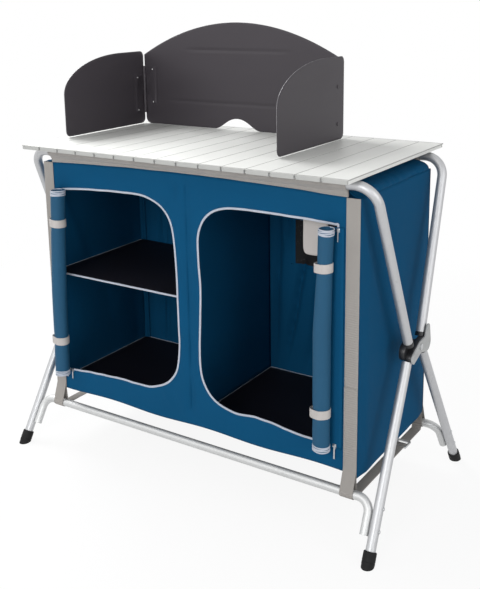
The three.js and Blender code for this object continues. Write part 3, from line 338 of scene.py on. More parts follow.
class KitchenTubes(PropertyGroup):
    """Sizes of the two tube frames."""

    radius: size("Tube radius", "Outside radius of the frame tubes", 0.011)
    wall: size("Tube wall", "Wall of all the tubes", 0.0012)
    rail_y: size("Rail reach", "Distance of each rail from the middle", 0.190)
    rail_z: size("Rail height", "Height of both rails above the ground", 0.7972)
    rail_bend: size("Rail bend", "Radius of the bends at the rails' ends", 0.048)
    pivot_x: size("Pivot reach", "Distance of each pivot from the middle", 0.494)
    pivot_z: size("Pivot height", "Height of the pivots above the ground", 0.400)
    foot_x: size("Foot spread", "Sideways distance of a foot from the middle", 0.510)
    foot_y: size("Foot reach", "Distance of a foot to the front or rear", 0.263)
    jog: size("Tube jog", "How far each tube passes beside the pivot", 0.029)
    upper_start: size("Upper tube start", "Rise from the pivot to an upper tube", 0.020)
    lower_start: size("Lower tube start", "Drop from the pivot to a lower tube", 0.025)
    bar_radius: size("Crossbar radius", "Outside radius of the crossbars", 0.010)
    bar_z: size("Crossbar height", "Height of the crossbars' straight part", 0.113)
    bar_end_z: size("Crossbar end", "Height of the crossbars' turned down ends", 0.050)
    bar_bend: size("Crossbar bend", "Radius of the crossbars' bends", 0.030)
    foot_radius: size("Foot radius", "Outside radius of a foot cap", 0.0145)
    foot_length: size("Foot length", "Height that a foot cap reaches", 0.042)


class KitchenWindscreen(PropertyGroup):
    """Sizes of the folding windscreen."""

    middle: size("Middle", "Place of the back panel's middle along the worktop", -0.112)
    face_y: size("Face", "Place of the back panel's front face", 0.2064)
    width: size("Width", "Width of the back panel", 0.630)
    side_height: size("Side height", "Height of the back panel at its sides", 0.196)
    peak_height: size("Peak height", "Height of the back panel at its middle", 0.286)
    corner: size("Lower corners", "Radius of the back panel's lower corners", 0.018)
    wing_length: size("Wing length", "Length of a wing", 0.323)
    wing_height: size("Wing height", "Height of a wing", 0.204)
    sheet: size("Sheet", "Thickness of the steel sheet", 0.0012)


class KitchenColours(PropertyGroup):
    """Colours of the finishes."""

    slat: tint("Slats", "Anodised face of the worktop slats", 224, 225, 222)
    tube: tint("Tubes", "Bare aluminium of the frame tubes", 190, 191, 193)
    bar: tint("Crossbars", "Duller aluminium of the crossbars", 202, 203, 203)
    rubber: tint("Feet", "Black rubber of the foot caps", 14, 14, 15)
    black: tint("Joint moulding", "Black plastic of the joints", 26, 27, 30)
    grey: tint("Joint plate", "Grey plate on the outside of the joints", 166, 168, 168)
    steel: tint("Rivets", "Bright steel of rivets, pins and screws", 200, 202, 204)
    cloth: tint("Cabinet cloth", "Blue polyester of the cabinet", 11, 73, 110)
    roll: tint("Rolled doors", "Blue polyester of the rolled doors", 34, 80, 110)
    board: tint("Boards", "Black cover of the shelf and floor boards", 18, 17, 24)
    webbing: tint("Webbing", "Grey webbing of straps and sleeves", 153, 149, 145)
    binding: tint("Binding", "Light grey binding round the doorways", 178, 184, 196)
    tape: tint("Roll bands", "Light tape that holds the rolled doors", 186, 181, 178)
    screen: tint("Windscreen", "Dark grey coat of the windscreen", 61, 57, 62)
    band: tint("Slat bands", "Black webbing under the slats", 34, 34, 38)
    net: tint("Net", "Black net of the rear window", 14, 16, 20)


# Materials


class Reading:
    """A value read across a surface. Arithmetic on it adds the Math nodes that it needs."""

    def __init__(self, finish, socket):
        self.finish = finish
        self.socket = socket

    def math(self, operation, *values):
        return self.finish.node("ShaderNodeMath", {"operation": operation}, values)

    def __add__(self, other):
        return self.math("ADD", self, other)

    def __radd__(self, other):
        return self.math("ADD", other, self)

    def __sub__(self, other):
        return self.math("SUBTRACT", self, other)

    def __rsub__(self, other):
        return self.math("SUBTRACT", other, self)

    def __mul__(self, other):
        return self.math("MULTIPLY", self, other)

    def __truediv__(self, other):
        return self.math("DIVIDE", self, other)

    def __gt__(self, other):
        return self.math("GREATER_THAN", self, other)

    def __lt__(self, other):
        return self.math("LESS_THAN", self, other)

    def sine(self):
        return self.math("SINE", self)

    def absolute(self):
        return self.math("ABSOLUTE", self)

    def floor(self):
        return self.math("FLOOR", self)

    def part(self):
        return self.math("FRACT", self)

    def ripple(self, pitch):
        """A wave from -1 to 1 that repeats at the pitch."""
        return (self * (2 * math.pi / pitch)).sine()


class Finish:
    """The node tree of a material or a world under construction."""

    def __init__(self, owner):
        owner.use_nodes = True
        self.owner = owner
        self.tree = owner.node_tree
        self.tree.nodes.clear()

    def node(self, kind, settings=None, inputs=(), output=0):
        """Adds a node, sets it up, feeds its sockets and returns one output."""
        made = self.tree.nodes.new(kind)
        for name, value in (settings or {}).items():
            setattr(made, name, value)
        pairs = inputs.items() if isinstance(inputs, dict) else enumerate(inputs)
        for key, value in pairs:
            socket = made.inputs[key]
            if isinstance(value, Reading):
                self.tree.links.new(value.socket, socket)
            elif value is not None:
                if socket.type == "RGBA" and len(value) == 3:
                    value = (*value, 1.0)
                socket.default_value = value
        return Reading(self, made.outputs[output]) if made.outputs else None

    def readings(self, kind, names, inputs=()):
        """Several outputs of a new node."""
        outputs = self.node(kind, None, inputs).socket.node.outputs
        return [Reading(self, outputs[name]) for name in names]

    def place(self):
        """The surface's own coordinates."""
        return self.node("ShaderNodeTexCoord", output="Object")

    def parts(self, spot):
        """The parts of a place along x, y and z."""
        return self.readings("ShaderNodeSeparateXYZ", "XYZ", [spot])

    def stretched(self, spot, x, y, z):
        return self.node("ShaderNodeMapping", None, {"Vector": spot, "Scale": (x, y, z)})

    def cloud(self, spot, scale, detail=3.0, rough=0.55):
        inputs = {"Vector": spot, "Scale": scale, "Detail": detail, "Roughness": rough}
        return self.node("ShaderNodeTexNoise", None, inputs)

    def streaks(self, spot, x, y, z, detail, rough=0.55):
        """Clouds drawn out along an axis: the smaller its number, the longer they are."""
        return self.cloud(self.stretched(spot, x, y, z), 1.0, detail, rough)

    def mix(self, share, first, second):
        inputs = {0: share, 6: first, 7: second}
        return self.node("ShaderNodeMix", {"data_type": "RGBA"}, inputs, output=2)

    def tone(self, share, base, dark, light):
        """A colour that runs from darker to lighter as the share goes from 0 to 1."""
        return self.mix(share, shade(base, dark), shade(base, light))

    def ramp(self, value, low, high):
        """Stretches the part of a value between low and high to run from 0 to 1."""
        return self.node("ShaderNodeMapRange", None, {0: value, 1: low, 2: high})

    def bump(self, height, distance, strength=0.5):
        inputs = {"Height": height, "Distance": distance, "Strength": strength}
        return self.node("ShaderNodeBump", None, inputs)

    def surface(self, colour, roughness, normal=None, **fixed):
        """Ends the material in a Principled shader."""
        inputs = {"Base Color": colour, "Roughness": roughness, "Normal": normal}
        inputs.update({name.replace("_", " "): value for name, value in fixed.items()})
        shader = self.node("ShaderNodeBsdfPrincipled", None, inputs)
        self.node("ShaderNodeOutputMaterial", None, {"Surface": shader})
        return self.owner


def shade(colour, factor):
    return tuple(min(1.0, c * factor) for c in colour)


def slat_face(f, base):
    """Anodised extrusion with fine lines along each slat, and each slat a little different."""
    spot = f.place()
    x, y, _ = f.parts(spot)
    lines = f.streaks(spot, 900, 5, 60, 2.0)
    haze = f.cloud(spot, 7.0, 4.0)
    slats = (x + TOP_HALF_WIDTH) / SLAT_PITCH
    each = f.node("ShaderNodeTexWhiteNoise", {"noise_dimensions": "1D"}, {"W": slats.floor()})
    colour = f.tone(lines * 0.25 + haze * 0.35 + each * 0.4, base, 0.9, 1.06)
    # Painted shade: a dark line along each seam between two slats.
    seam = (slats.part() - 0.5).absolute() > 0.5 - SLAT_SEAM_SHADE / SLAT_PITCH
    colour = f.mix(seam * 0.62, colour, shade(base, 0.20))
    # Painted shade: the slats' end faces and the worktop's outer sides are darkened.
    shaded_ends = (y.absolute() > TOP_SHADED_END_Y) + (x.absolute() > TOP_SHADED_END_X)
    colour = f.mix(shaded_ends * 0.85, colour, shade(base, 0.50))
    normal = f.bump(lines, 0.00008, 0.6)
    return f.surface(colour, 0.42 + haze * 0.14, normal, Metallic=0.15, Specular_IOR_Level=0.3)


def brushed_tube(f, base, smooth, rough):
    """Bare aluminium tube, drawn lengthwise, with a few scuffs."""
    spot = f.place()
    lines = f.streaks(spot, 260, 260, 18, 3.0)
    haze = f.cloud(spot, 14.0, 4.0)
    marks = f.ramp(f.streaks(spot, 60, 60, 90, 5.0, 0.7), 0.62, 0.72)
    colour = f.tone(lines * 0.5 + haze * 0.5, base, 0.82, 1.08)
    colour = f.mix(marks * 0.35, colour, shade(base, 0.6))
    rough = smooth + haze * (rough - smooth)
    return f.surface(colour, rough, f.bump(lines, 0.00005), Metallic=0.70)


def bright_steel(f, base):
    haze = f.cloud(f.place(), 180.0, 3.0)
    return f.surface(f.tone(haze, base, 0.7, 1.0), 0.2 + haze * 0.2, Metallic=1.0)


def dusty_rubber(f, base):
    spot = f.place()
    grain = f.cloud(spot, 900.0, 3.0)
    dust = f.ramp(f.cloud(spot, 40.0, 4.0), 0.5, 0.8)
    colour = f.tone(dust * 0.35, base, 1.0, 3.2)
    return f.surface(colour, 0.55 + grain * 0.2, f.bump(grain, 0.0002), Specular_IOR_Level=0.25)


def moulded(f, base, rough):
    """Moulded nylon or cast metal with a fine grain."""
    spot = f.place()
    grain = f.cloud(spot, 1400.0, 2.0)
    haze = f.cloud(spot, 60.0, 4.0)
    return f.surface(f.tone(haze, base, 0.8, 1.2), rough + haze * 0.15, f.bump(grain, 0.00012))


def threads(f, spot, pitch):
    """The height of a plain weave over an upright or a level sheet."""
    x, y, z = f.parts(spot)
    return (x + y).ripple(pitch) * (z + x - y).ripple(pitch)


def sewn(f, base, rough, dark, gloss):
    """Coated polyester: close plain weave, soft creases, a little sheen."""
    spot = f.place()
    weave = threads(f, spot, 0.0011)
    haze = f.cloud(spot, 5.0, 5.0)
    slub = f.streaks(spot, 40, 40, 900, 2.0)
    creased = f.cloud(spot, 38.0, 4.0, 0.6)
    share = haze * 0.6 + slub * 0.25 + (weave * 0.5 + 0.5) * 0.15
    normal = f.bump(weave * 0.12 + creased * 0.88, 0.0014, 0.42)
    colour = f.tone(share, base, dark, 1.14)
    return f.surface(colour, rough + haze * 0.12, normal, Specular_IOR_Level=gloss)


def board_cover(f, base):
    spot = f.place()
    weave = threads(f, spot, 0.0014)
    haze = f.cloud(spot, 6.0, 4.0)
    grain = f.cloud(spot, 260.0, 3.0)
    colour = f.tone(haze * 0.7 + grain * 0.3, base, 0.7, 1.6)
    normal = f.bump(weave * 0.3 + grain * 0.7, 0.0003)
    return f.surface(colour, 0.48 + grain * 0.2, normal, Specular_IOR_Level=0.2)


def woven_strap(f, base, along, side):
    """Narrow webbing with ribs that step along one axis and a twill along another."""
    spot = f.place()
    parts = dict(zip("xyz", f.parts(spot)))
    ribs = parts[along].ripple(WEBBING_RIB)
    twill = parts[side].ripple(0.0018)
    haze = f.cloud(spot, 16.0, 4.0)
    colour = f.tone(haze * 0.55 + (ribs * 0.5 + 0.5) * 0.45, base, 0.84, 1.12)
    normal = f.bump(ribs * 0.7 + twill * 0.3, 0.0004, 0.7)
    return f.surface(colour, 0.72 + haze * 0.15, normal, Sheen_Weight=0.2)


def upright_strap(f, base):
    """Webbing that hangs upright, with hook rows on its lower part."""
    spot = f.place()
    z = f.parts(spot)[2]
    ribs = z.ripple(WEBBING_RIB)
    rows = z.ripple(HOOK_ROW)
    hooked = f.ramp(z, 0.60, 0.50)
    haze = f.cloud(spot, 16.0, 4.0)
    share = haze * 0.4 + (ribs * 0.5 + 0.5) * 0.3 + f.ramp(rows, -0.6, 0.8) * hooked * 0.3
    normal = f.bump(ribs * 0.3 + rows * hooked * 0.7, 0.0007, 0.6)
    return f.surface(f.tone(share, base, 0.86, 1.12), 0.78, normal, Specular_IOR_Level=0.3)


def hook_strap(f, base):
    """The part of a strap that closes on itself: close hooks in rows across it."""
    spot = f.place()
    x, _, z = f.parts(spot)
    rows = z.ripple(HOOK_ROW)
    hooks = x.ripple(0.0015)
    haze = f.cloud(spot, 16.0, 4.0)
    hooked = f.ramp(z, 0.175, 0.20)
    share = f.ramp(rows, -0.6, 0.8) * hooked * 0.30 + haze * 0.5 + 0.1
    normal = f.bump(rows * hooked * 0.7 + hooks * 0.3, 0.0006, 0.6)
    return f.surface(f.tone(share, base, 0.86, 1.14), 0.8, normal, Specular_IOR_Level=0.3)


def rail_sleeve(f, base):
    """Woven tape of the rail sleeves, with a row of stitches near its lower edge."""
    spot = f.place()
    x, _, z = f.parts(spot)
    ribs = x.ripple(0.0022)
    haze = f.cloud(spot, 12.0, 4.0)
    puckers = f.streaks(spot, 60, 60, 9, 3.0)
    low, high = STITCH_ROW
    seam = (z > low) * (z < high) * ((x / STITCH_PITCH).part() < 0.62)
    colour = f.tone(haze * 0.6 + (ribs * 0.5 + 0.5) * 0.4, base, 0.84, 1.06)
    colour = f.mix(seam * 0.7, colour, shade(base, 1.35))
    normal = f.bump(ribs * 0.25 + puckers * 0.75, 0.0008)
    return f.surface(colour, 0.75, normal, Sheen_Weight=0.15)


# Near white rivet heads: their light metal with a painted glint in the colour.
def rivet_head_glint(f):
    haze = f.cloud(f.place(), 300.0, 2.0)
    return f.surface(f.tone(haze, RIVET_GLINT_WHITE, 0.9, 1.0), 0.3, Metallic=0.1)


def soft_binding(f, base):
    spot = f.place()
    weave = threads(f, spot, 0.0009)
    haze = f.cloud(spot, 30.0, 4.0)
    normal = f.bump(weave * 0.3 + haze * 0.7, 0.0006)
    return f.surface(f.tone(haze, base, 0.86, 1.1), 0.7, normal, Sheen_Weight=0.2)


def fine_net(f, base):
    """Close net with small holes."""
    x, _, z = f.parts(f.place())
    mesh = x.ripple(0.0024) * z.ripple(0.0024)
    return f.surface(shade(base, 1.0), 0.7, f.bump(mesh, 0.0005, 0.6), Alpha=1.0 - (mesh > 0.90))


def powder_coat(f, base):
    """Coat on sheet steel: fine speckle, faint wipe marks."""
    spot = f.place()
    speckle = f.cloud(spot, 1500.0, 2.0)
    wipe = f.streaks(spot, 6, 6, 22, 5.0)
    colour = f.tone(wipe * 0.7 + speckle * 0.3, base, 0.86, 1.14)
    normal = f.bump(speckle, 0.00006)
    return f.surface(colour, 0.42 + wipe * 0.16, normal, Metallic=0.05, Specular_IOR_Level=0.36)


def bare_edge_and_highlight(f, base, steel):
    """The sheet's cut edge, where the coat is thin: lighter than the coat, partly bare steel and
    partly a painted highlight.
    """
    haze = f.cloud(f.place(), 120.0, 4.0)
    return f.surface(f.mix(haze, shade(base, 1.8), shade(steel, 0.75)), 0.35, Metallic=0.6)


# Each finish: what makes it, the colours it takes, and its own values
FINISHES = {
    "slat": (slat_face, ["slat"]),
    "tube": (brushed_tube, ["tube"], 0.40, 0.56),
    "bar": (brushed_tube, ["bar"], 0.42, 0.58),
    "steel": (bright_steel, ["steel"]),
    "rivet": (rivet_head_glint, []),
    "rubber": (dusty_rubber, ["rubber"]),
    "black": (moulded, ["black"], 0.32),
    "grey": (moulded, ["grey"], 0.42),
    "cloth": (sewn, ["cloth"], 0.66, 0.86, 0.05),
    "roll": (sewn, ["roll"], 0.52, 0.84, 0.16),
    "board": (board_cover, ["board"]),
    "webbing": (upright_strap, ["webbing"]),
    "webbing_level": (woven_strap, ["webbing"], "y", "x"),
    "hook_tape": (hook_strap, ["webbing"]),
    "sleeve": (rail_sleeve, ["webbing"]),
    "tape": (woven_strap, ["tape"], "z", "x"),
    "band": (woven_strap, ["band"], "x", "z"),
    "binding": (soft_binding, ["binding"]),
    "net": (fine_net, ["net"]),
    "screen": (powder_coat, ["screen"]),
    "screen_edge": (bare_edge_and_highlight, ["screen", "steel"]),
}


MADE_FINISHES = {}


def finish(name):
    """The material of that name, made when it is first asked for."""
    if name not in MADE_FINISHES:
        maker, colours, *values = FINISHES[name]
        tints = [getattr(bpy.context.scene.kitchen_colours, colour) for colour in colours]
        MADE_FINISHES[name] = maker(Finish(bpy.data.materials.new(name)), *tints, *values)
    return MADE_FINISHES[name]


# Shapes


def arc_points(centre, arm, axis, angle, steps):
    turns = [Matrix.Rotation(angle * k / steps, 3, axis) for k in range(steps + 1)]
    return [centre + turn @ arm for turn in turns]


def bent_line(corners, radius, steps=BEND_STEPS):
    """The corners' line with each inner corner bent to a radius."""
    line = [corners[0].copy()]
    for before, corner, after in zip(corners, corners[1:], corners[2:]):
        back = (before - corner).normalized()
        ahead = (after - corner).normalized()
        half = back.angle(ahead) / 2
        centre = (back + ahead).normalized() * (radius / math.sin(half)) + corner
        arm = back * (radius / math.tan(half)) + corner - centre
        axis = ahead.cross(back).normalized()
        line += arc_points(centre, arm, axis, math.pi - 2 * half, steps)
    line.append(corners[-1].copy())
    return line


def stations(line, normal, closed=False):
    """Places along a line for an outline drawn in x and y, whose y keeps to the normal."""
    made = []
    last = len(line) - 1
    for i, here in enumerate(line):
        if closed:
            before, after = line[i - 1], line[(i + 1) % len(line)]
        else:
            before, after = line[max(i - 1, 0)], line[min(i + 1, last)]
        along = (after - before).normalized()
        up = normal(i) if callable(normal) else normal
        up = (up - along * up.dot(along)).normalized()
        matrix = Matrix((up.cross(along), up, along)).transposed().to_4x4()
        matrix.translation = here
        made.append(matrix)
    return made


def extruded(bm, edges):
    """Grows faces from edges, and gives the new vertices and the edges between them."""
    grown = bmesh.ops.extrude_edge_only(bm, edges=edges)["geom"]
    moved = [g for g in grown if isinstance(g, bmesh.types.BMVert)]
    new = [g for g in grown if isinstance(g, bmesh.types.BMEdge)]
    return moved, [e for e in new if all(v in moved for v in e.verts)]


def sweep(bm, verts, places, closed=False, cap=True):
    """Carries a closed outline, which lies at the origin, along the places."""
    around = [e for v in verts for e in v.link_edges if e.other_vert(v) in verts]
    first = list(dict.fromkeys(around))
    bmesh.ops.transform(bm, matrix=places[0], verts=list(verts))
    last = first
    for before, after in zip(places, places[1:] + places[:1] if closed else places[1:]):
        moved, last = extruded(bm, last)
        bmesh.ops.transform(bm, matrix=after @ before.inverted(), verts=moved)
    if closed:
        bmesh.ops.remove_doubles(bm, verts=bm.verts, dist=MERGE_DISTANCE)
    elif cap:
        for edges in (first, last):
            bmesh.ops.contextual_create(bm, geom=edges)
    return first, last


def ring(bm, radius, segments=TUBE_SIDES):
    return bmesh.ops.create_circle(bm, cap_ends=False, segments=segments, radius=radius)["verts"]


def edging(bm, line, normal, width, thickness, segments=12, closed=False):
    """An oval cord or tape along a line."""
    verts = ring(bm, 1.0, segments)
    bmesh.ops.scale(bm, vec=(width / 2, thickness / 2, 1), verts=verts)
    sweep(bm, verts, stations(line, normal, closed), closed)
    return bm


def strip(bm, line, normal, width, thickness):
    """A flat strap with soft edges along a line."""
    verts = ring(bm, 1.0, STRIP_SIDES)
    for v in verts:
        across, up = v.co.x, v.co.y
        v.co.x = math.copysign(abs(across) ** STRIP_SQUARE[0], across) * width / 2
        v.co.y = math.copysign(abs(up) ** STRIP_SQUARE[1], up) * thickness / 2
    sweep(bm, verts, stations(line, normal))


def hollow_tube(bm, line, normal, radius, wall):
    """A bent tube with its wall and both open ends."""
    places = stations(line, normal)
    outer = sweep(bm, ring(bm, radius), places, cap=False)
    inner = sweep(bm, ring(bm, radius - wall), places, cap=False)
    for a, b in zip(outer, inner):
        bmesh.ops.bridge_loops(bm, edges=list(a) + list(b))


def block(bm, middle, lengths):
    verts = bmesh.ops.create_cube(bm, size=1.0)["verts"]
    bmesh.ops.scale(bm, vec=lengths, verts=verts)
    bmesh.ops.translate(bm, vec=middle, verts=verts)


def beside(along):
    """An axis that is not along the direction."""
    return X if abs(along.dot(X)) < 0.9 else Y


def rod(bm, start, end, radius):
    """A plain round bar between two points."""
    along = (end - start).normalized()
    sweep(bm, ring(bm, radius), stations([start, end], beside(along)))


def lathe(bm, profile, start, along, segments=TUBE_SIDES):
    """Rings of the profile's (height, radius) about an axis, closed at both ends."""
    base = stations([start, start + along], beside(along))[0]
    places = []
    for height, radius in profile:
        place = base @ Matrix.Diagonal((radius, radius, 1, 1))
        place.translation = start + along * height
        places.append(place)
    sweep(bm, ring(bm, 1.0, segments), places)


def button(bm, seat, along, radius, height, segments=16):
    """A domed head that sits on a face."""
    dome = ((0.45, 1.0), (0.8, 0.8), (1.0, 0.45))  # shares of the height and the radius
    profile = [(-SUNK, radius), *[(height * up, radius * out) for up, out in dome]]
    lathe(bm, profile, seat, along, segments)


def linked(name, data):
    """An object that holds the data and stands in the scene."""
    made = bpy.data.objects.new(name, data)
    bpy.context.scene.collection.objects.link(made)
    return made


def settled(bm):
    """Orders vertices by their places, and edges and faces by their vertices: the same each run."""
    def order(elements, key):
        ranks = {e: rank for rank, e in enumerate(sorted(elements, key=key))}
        elements.sort(key=ranks.get)
        elements.index_update()

    order(bm.verts, lambda v: v.co.to_tuple())
    order(bm.edges, lambda e: sorted(v.index for v in e.verts))
    order(bm.faces, lambda f: sorted(v.index for v in f.verts))


def as_object(name, bm):
    settled(bm)
    mesh = bpy.data.meshes.new(name)
    bm.to_mesh(mesh)
    bm.free()
    return linked(name, mesh)


def finished(name, bm, look, body, stands_for=(), smooth=SMOOTH_ANGLE, turn=True):
    """Makes the object of a mesh and lets it ride on its body."""
    if turn:
        bmesh.ops.recalc_face_normals(bm, faces=bm.faces)
    made = as_object(name, bm)
    mesh = made.data
    for one in [look] if isinstance(look, str) else look:
        mesh.materials.append(finish(one))
    mesh.polygons.foreach_set("use_smooth", [True] * len(mesh.polygons))
    mesh.set_sharp_from_angle(angle=math.radians(smooth))
    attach(made, body)
    if stands_for:
        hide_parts(*stands_for)
    return made


def with_thickness(made, thickness):
    wall = made.modifiers.new("Thickness", "SOLIDIFY")
    wall.thickness = thickness
    wall.offset = 0.0
    wall.use_quality_normals = True
    return made


def folds_flat(made):
    """Gives the object its own copy of its mesh."""
    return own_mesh(made)


def merged(bm, angle):
    """Joins vertices that lie together, and faces that lie flat within the angle."""
    bmesh.ops.remove_doubles(bm, verts=bm.verts, dist=MERGE_DISTANCE * 10)
    flattened(bm, angle)


def flattened(bm, angle):
    bmesh.ops.dissolve_limit(
        bm, angle_limit=math.radians(angle), verts=bm.verts, edges=bm.edges, delimit=set()
    )


def eased(bm, width, angle=45, segments=2):
    """Rounds the edges that are sharper than the angle."""
    sharp = [
        e for e in bm.edges
        if len(e.link_faces) == 2 and e.calc_face_angle(0) > math.radians(angle)
    ]
    bmesh.ops.bevel(
        bm, geom=sharp, offset=width, offset_type="OFFSET", segments=segments, profile=0.5,
        affect="EDGES", material=-1, clamp_overlap=True,
    )
    return bm


def refined(node, look, body, bevel, segments):
    """A copy of a CAD node with its sharp edges eased, which stands for it."""
    bm = bmesh.new()
    bm.from_mesh(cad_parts[node].data)
    merged(bm, 1)
    eased(bm, bevel, 50, segments)
    return finished(node + "_shape", bm, look, body, [node], turn=False)


def through(points, spacing):
    """A smooth closed line through the points, in steps of about the spacing."""
    made = []
    count = len(points)
    for i in range(count):
        a, b, c, d = (Vector(points[(i + k) % count]) for k in (-1, 0, 1, 2))
        steps = max(2, round((c - b).length / spacing))
        bend = 2 * a - 5 * b + 4 * c - d
        twist = 3 * b - a - 3 * c + d
        for k in range(steps):
            t = k / steps
            made.append(0.5 * (2 * b + (c - a) * t + bend * t * t + twist * t * t * t))
    return made


def against(points, outline):
    """Each point's nearest place on a closed outline, how far that is, and whether it is inside."""
    start = np.array([tuple(p) for p in outline])
    end = np.roll(start, -1, axis=0)
    run = end - start
    gap = points[:, None, :] - start[None]
    share = np.clip((gap * run).sum(2) / np.maximum((run * run).sum(1), TINY), 0, 1)
    near = start[None] + share[..., None] * run[None]
    far = np.linalg.norm(points[:, None, :] - near, axis=2)
    best = far.argmin(1)
    rows = np.arange(len(points))
    x, z = points[:, None, 0], points[:, None, 1]
    cross = (start[None, :, 1] > z) != (end[None, :, 1] > z)
    climb = np.where(run[:, 1] == 0, TINY, run[:, 1])
    at = start[None, :, 0] + (z - start[None, :, 1]) * run[None, :, 0] / climb[None]
    inside = (cross & (x < at)).sum(1) % 2 == 1
    return near[rows, best], far[rows, best], inside


def trimmed(bm, outline, keep_inside, step):
    """Fits a flat grid to an outline and drops what lies on its other side."""
    bm.verts.ensure_lookup_table()
    points = np.array([v.co[:2] for v in bm.verts])
    near, far, inside = against(points, outline)
    doomed = []
    for v, place, distance, out in zip(bm.verts, near, far, inside != keep_inside):
        if distance < step * SNAP_SHARE:
            v.co.x, v.co.y = place
        elif out:
            doomed.append(v)
    bmesh.ops.delete(bm, geom=doomed, context="VERTS")
    faces = list(bm.faces)
    middles = np.array([f.calc_center_median()[:2] for f in faces])
    _, off, inside = against(middles, outline)
    areas = np.array([f.calc_area() for f in faces])
    sliver = (off < step * SLIVER_SHARE) & (areas < step * step * SLIVER_SHARE)
    bad = (inside != keep_inside) | sliver
    bmesh.ops.delete(bm, geom=[f for f, b in zip(faces, bad) if b], context="FACES")


def grid(left, low, right, high, step):
    """A flat grid in x and y, in steps of about the size given."""
    bm = bmesh.new()
    across = max(1, round((right - left) / step))
    up = max(1, round((high - low) / step))
    bmesh.ops.create_grid(bm, x_segments=across, y_segments=up, size=0.5)
    place = Matrix.Translation(((left + right) / 2, (low + high) / 2, 0))
    stretch = Matrix.Diagonal((right - left, high - low, 1, 1))
    bmesh.ops.transform(bm, matrix=place @ stretch, verts=bm.verts)
    return bm


def laid(bm, place):
    """Moves each vertex of a flat grid to where its x and y belong."""
    for v in bm.verts:
        v.co = place(v.co.x, v.co.y)
    return bm


def wave(u, v, seed):
    """Smooth chance from -1 to 1."""
    return noise.noise(Vector((u, v, seed)))


def ease(value, start, end):
    """0 at the start, 1 at the end, smooth between."""
    share = min(1.0, max(0.0, (value - start) / (end - start)))
    return share * share * (3 - 2 * share)


def bell(value, width):
    """1 where the value is 0, and next to nothing beyond twice the width."""
    return math.exp(-((value / width) ** 2))


# Frames. A way of -1 is toward the front and 1 toward the rear. Points are on the right side.


def leg_x(z):
    s = bpy.context.scene.kitchen_tubes
    return s.pivot_x + (s.foot_x - s.pivot_x) / s.pivot_z * (s.pivot_z - z)


def upper_axis(z, way):
    s = bpy.context.scene.kitchen_tubes
    slope = (s.rail_y - s.jog) / (s.rail_z - s.pivot_z)
    return Vector((leg_x(z), way * (s.jog + slope * (z - s.pivot_z)), z))


def lower_axis(z, way):
    s = bpy.context.scene.kitchen_tubes
    slope = (s.foot_y - s.jog) / s.pivot_z
    return Vector((leg_x(z), way * (s.jog + slope * (s.pivot_z - z)), z))


def sided(point, side):
    return Vector((side * point.x, point.y, point.z))


def across_tube(corners, bend, radius, wall):
    """A tube drawn from its right half's corners, outer end first, and their mirror."""
    line = bent_line([*corners, *[sided(c, -1) for c in reversed(corners)]], bend)
    slant = corners[1] - corners[0]
    bm = bmesh.new()
    hollow_tube(bm, line, X.cross(Vector((0, slant.y, slant.z))), radius, wall)
    return bm


def frame_body(way, upper):
    """The frame that an upper or lower tube on that side belongs to."""
    return "front_frame" if (way < 0) == upper else "rear_frame"


class KITCHEN_OT_top_frames(Operator):
    """Bends the two rails with their upper legs"""

    bl_idname = "kitchen.top_frames"
    bl_label = "Top Frames"

    def execute(self, context):
        s = context.scene.kitchen_tubes
        for name, way in WAYS:
            corners = [upper_axis(s.pivot_z + s.upper_start, way), upper_axis(s.rail_z, way)]
            finished(
                f"{name}_rail_tube", across_tube(corners, s.rail_bend, s.radius, s.wall), "tube",
                frame_body(way, True), [f"{name}_top_frame"],
            )
        return {"FINISHED"}


class KITCHEN_OT_legs(Operator):
    """Makes the four lower legs and the rubber caps on their ends"""

    bl_idname = "kitchen.legs"
    bl_label = "Legs and Feet"

    def execute(self, context):
        s = context.scene.kitchen_tubes
        for name, way in WAYS:
            body = frame_body(way, False)
            for side, mirror in SIDES:
                top = sided(lower_axis(s.pivot_z - s.lower_start, way), mirror)
                sole = sided(lower_axis(SOLE_Z, way), mirror)
                bm = bmesh.new()
                hollow_tube(bm, [top, sole], X, s.radius, s.wall)
                finished(f"{name}_leg_tube_{side}", bm, "tube", body,
                         [f"{name}_leg_{side}"])
                self.foot(s, name, way, side, mirror, body)
        return {"FINISHED"}

    def foot(self, s, name, way, side, mirror, body):
        ground, upper = (sided(lower_axis(z, way), mirror) for z in (0, s.foot_length))
        bore = s.radius + SEAT_GAP
        rings = [(z, s.foot_radius - inset) for z, inset in FOOT_RINGS]
        bm = bmesh.new()
        lathe(bm, [*rings, (FOOT_RIM, bore), (FOOT_BORE, bore)], ground,
              (upper - ground).normalized(), FOOT_SIDES)
        cut = bmesh.ops.bisect_plane(
            bm, geom=[*bm.verts, *bm.edges, *bm.faces], plane_co=(0, 0, 0), plane_no=(0, 0, -1),
            clear_outer=True, dist=FOOT_CUT,
        )["geom_cut"]
        rim = [g for g in cut if isinstance(g, bmesh.types.BMEdge)]
        bmesh.ops.contextual_create(bm, geom=rim)
        finished(f"{name}_foot_cap_{side}", bm, "rubber", body, [f"{name}_foot_{side}"])


class KITCHEN_OT_crossbars(Operator):
    """Bends the two crossbars and screws their ends to the legs"""

    bl_idname = "kitchen.crossbars"
    bl_label = "Crossbars"

    def execute(self, context):
        s = context.scene.kitchen_tubes
        inboard = Vector((s.radius + SEAT_GAP + s.bar_radius, 0, 0))
        for name, way in WAYS:
            body = frame_body(way, False)
            corners = [lower_axis(z, way) - inboard for z in (s.bar_end_z, s.bar_z)]
            bm = across_tube(corners, s.bar_bend, s.bar_radius, s.wall)
            finished(f"{name}_crossbar_tube", bm, "bar", body, [f"{name}_crossbar"])
            bm = bmesh.new()
            for _, mirror in SIDES:
                for z in SCREW_HEIGHTS:
                    seat = sided(lower_axis(z, way) + X * (s.radius - SUNK), mirror)
                    button(bm, seat, X * mirror, *SCREW_HEAD)
            finished(f"{name}_crossbar_screws", bm, "steel", body)
        return {"FINISHED"}


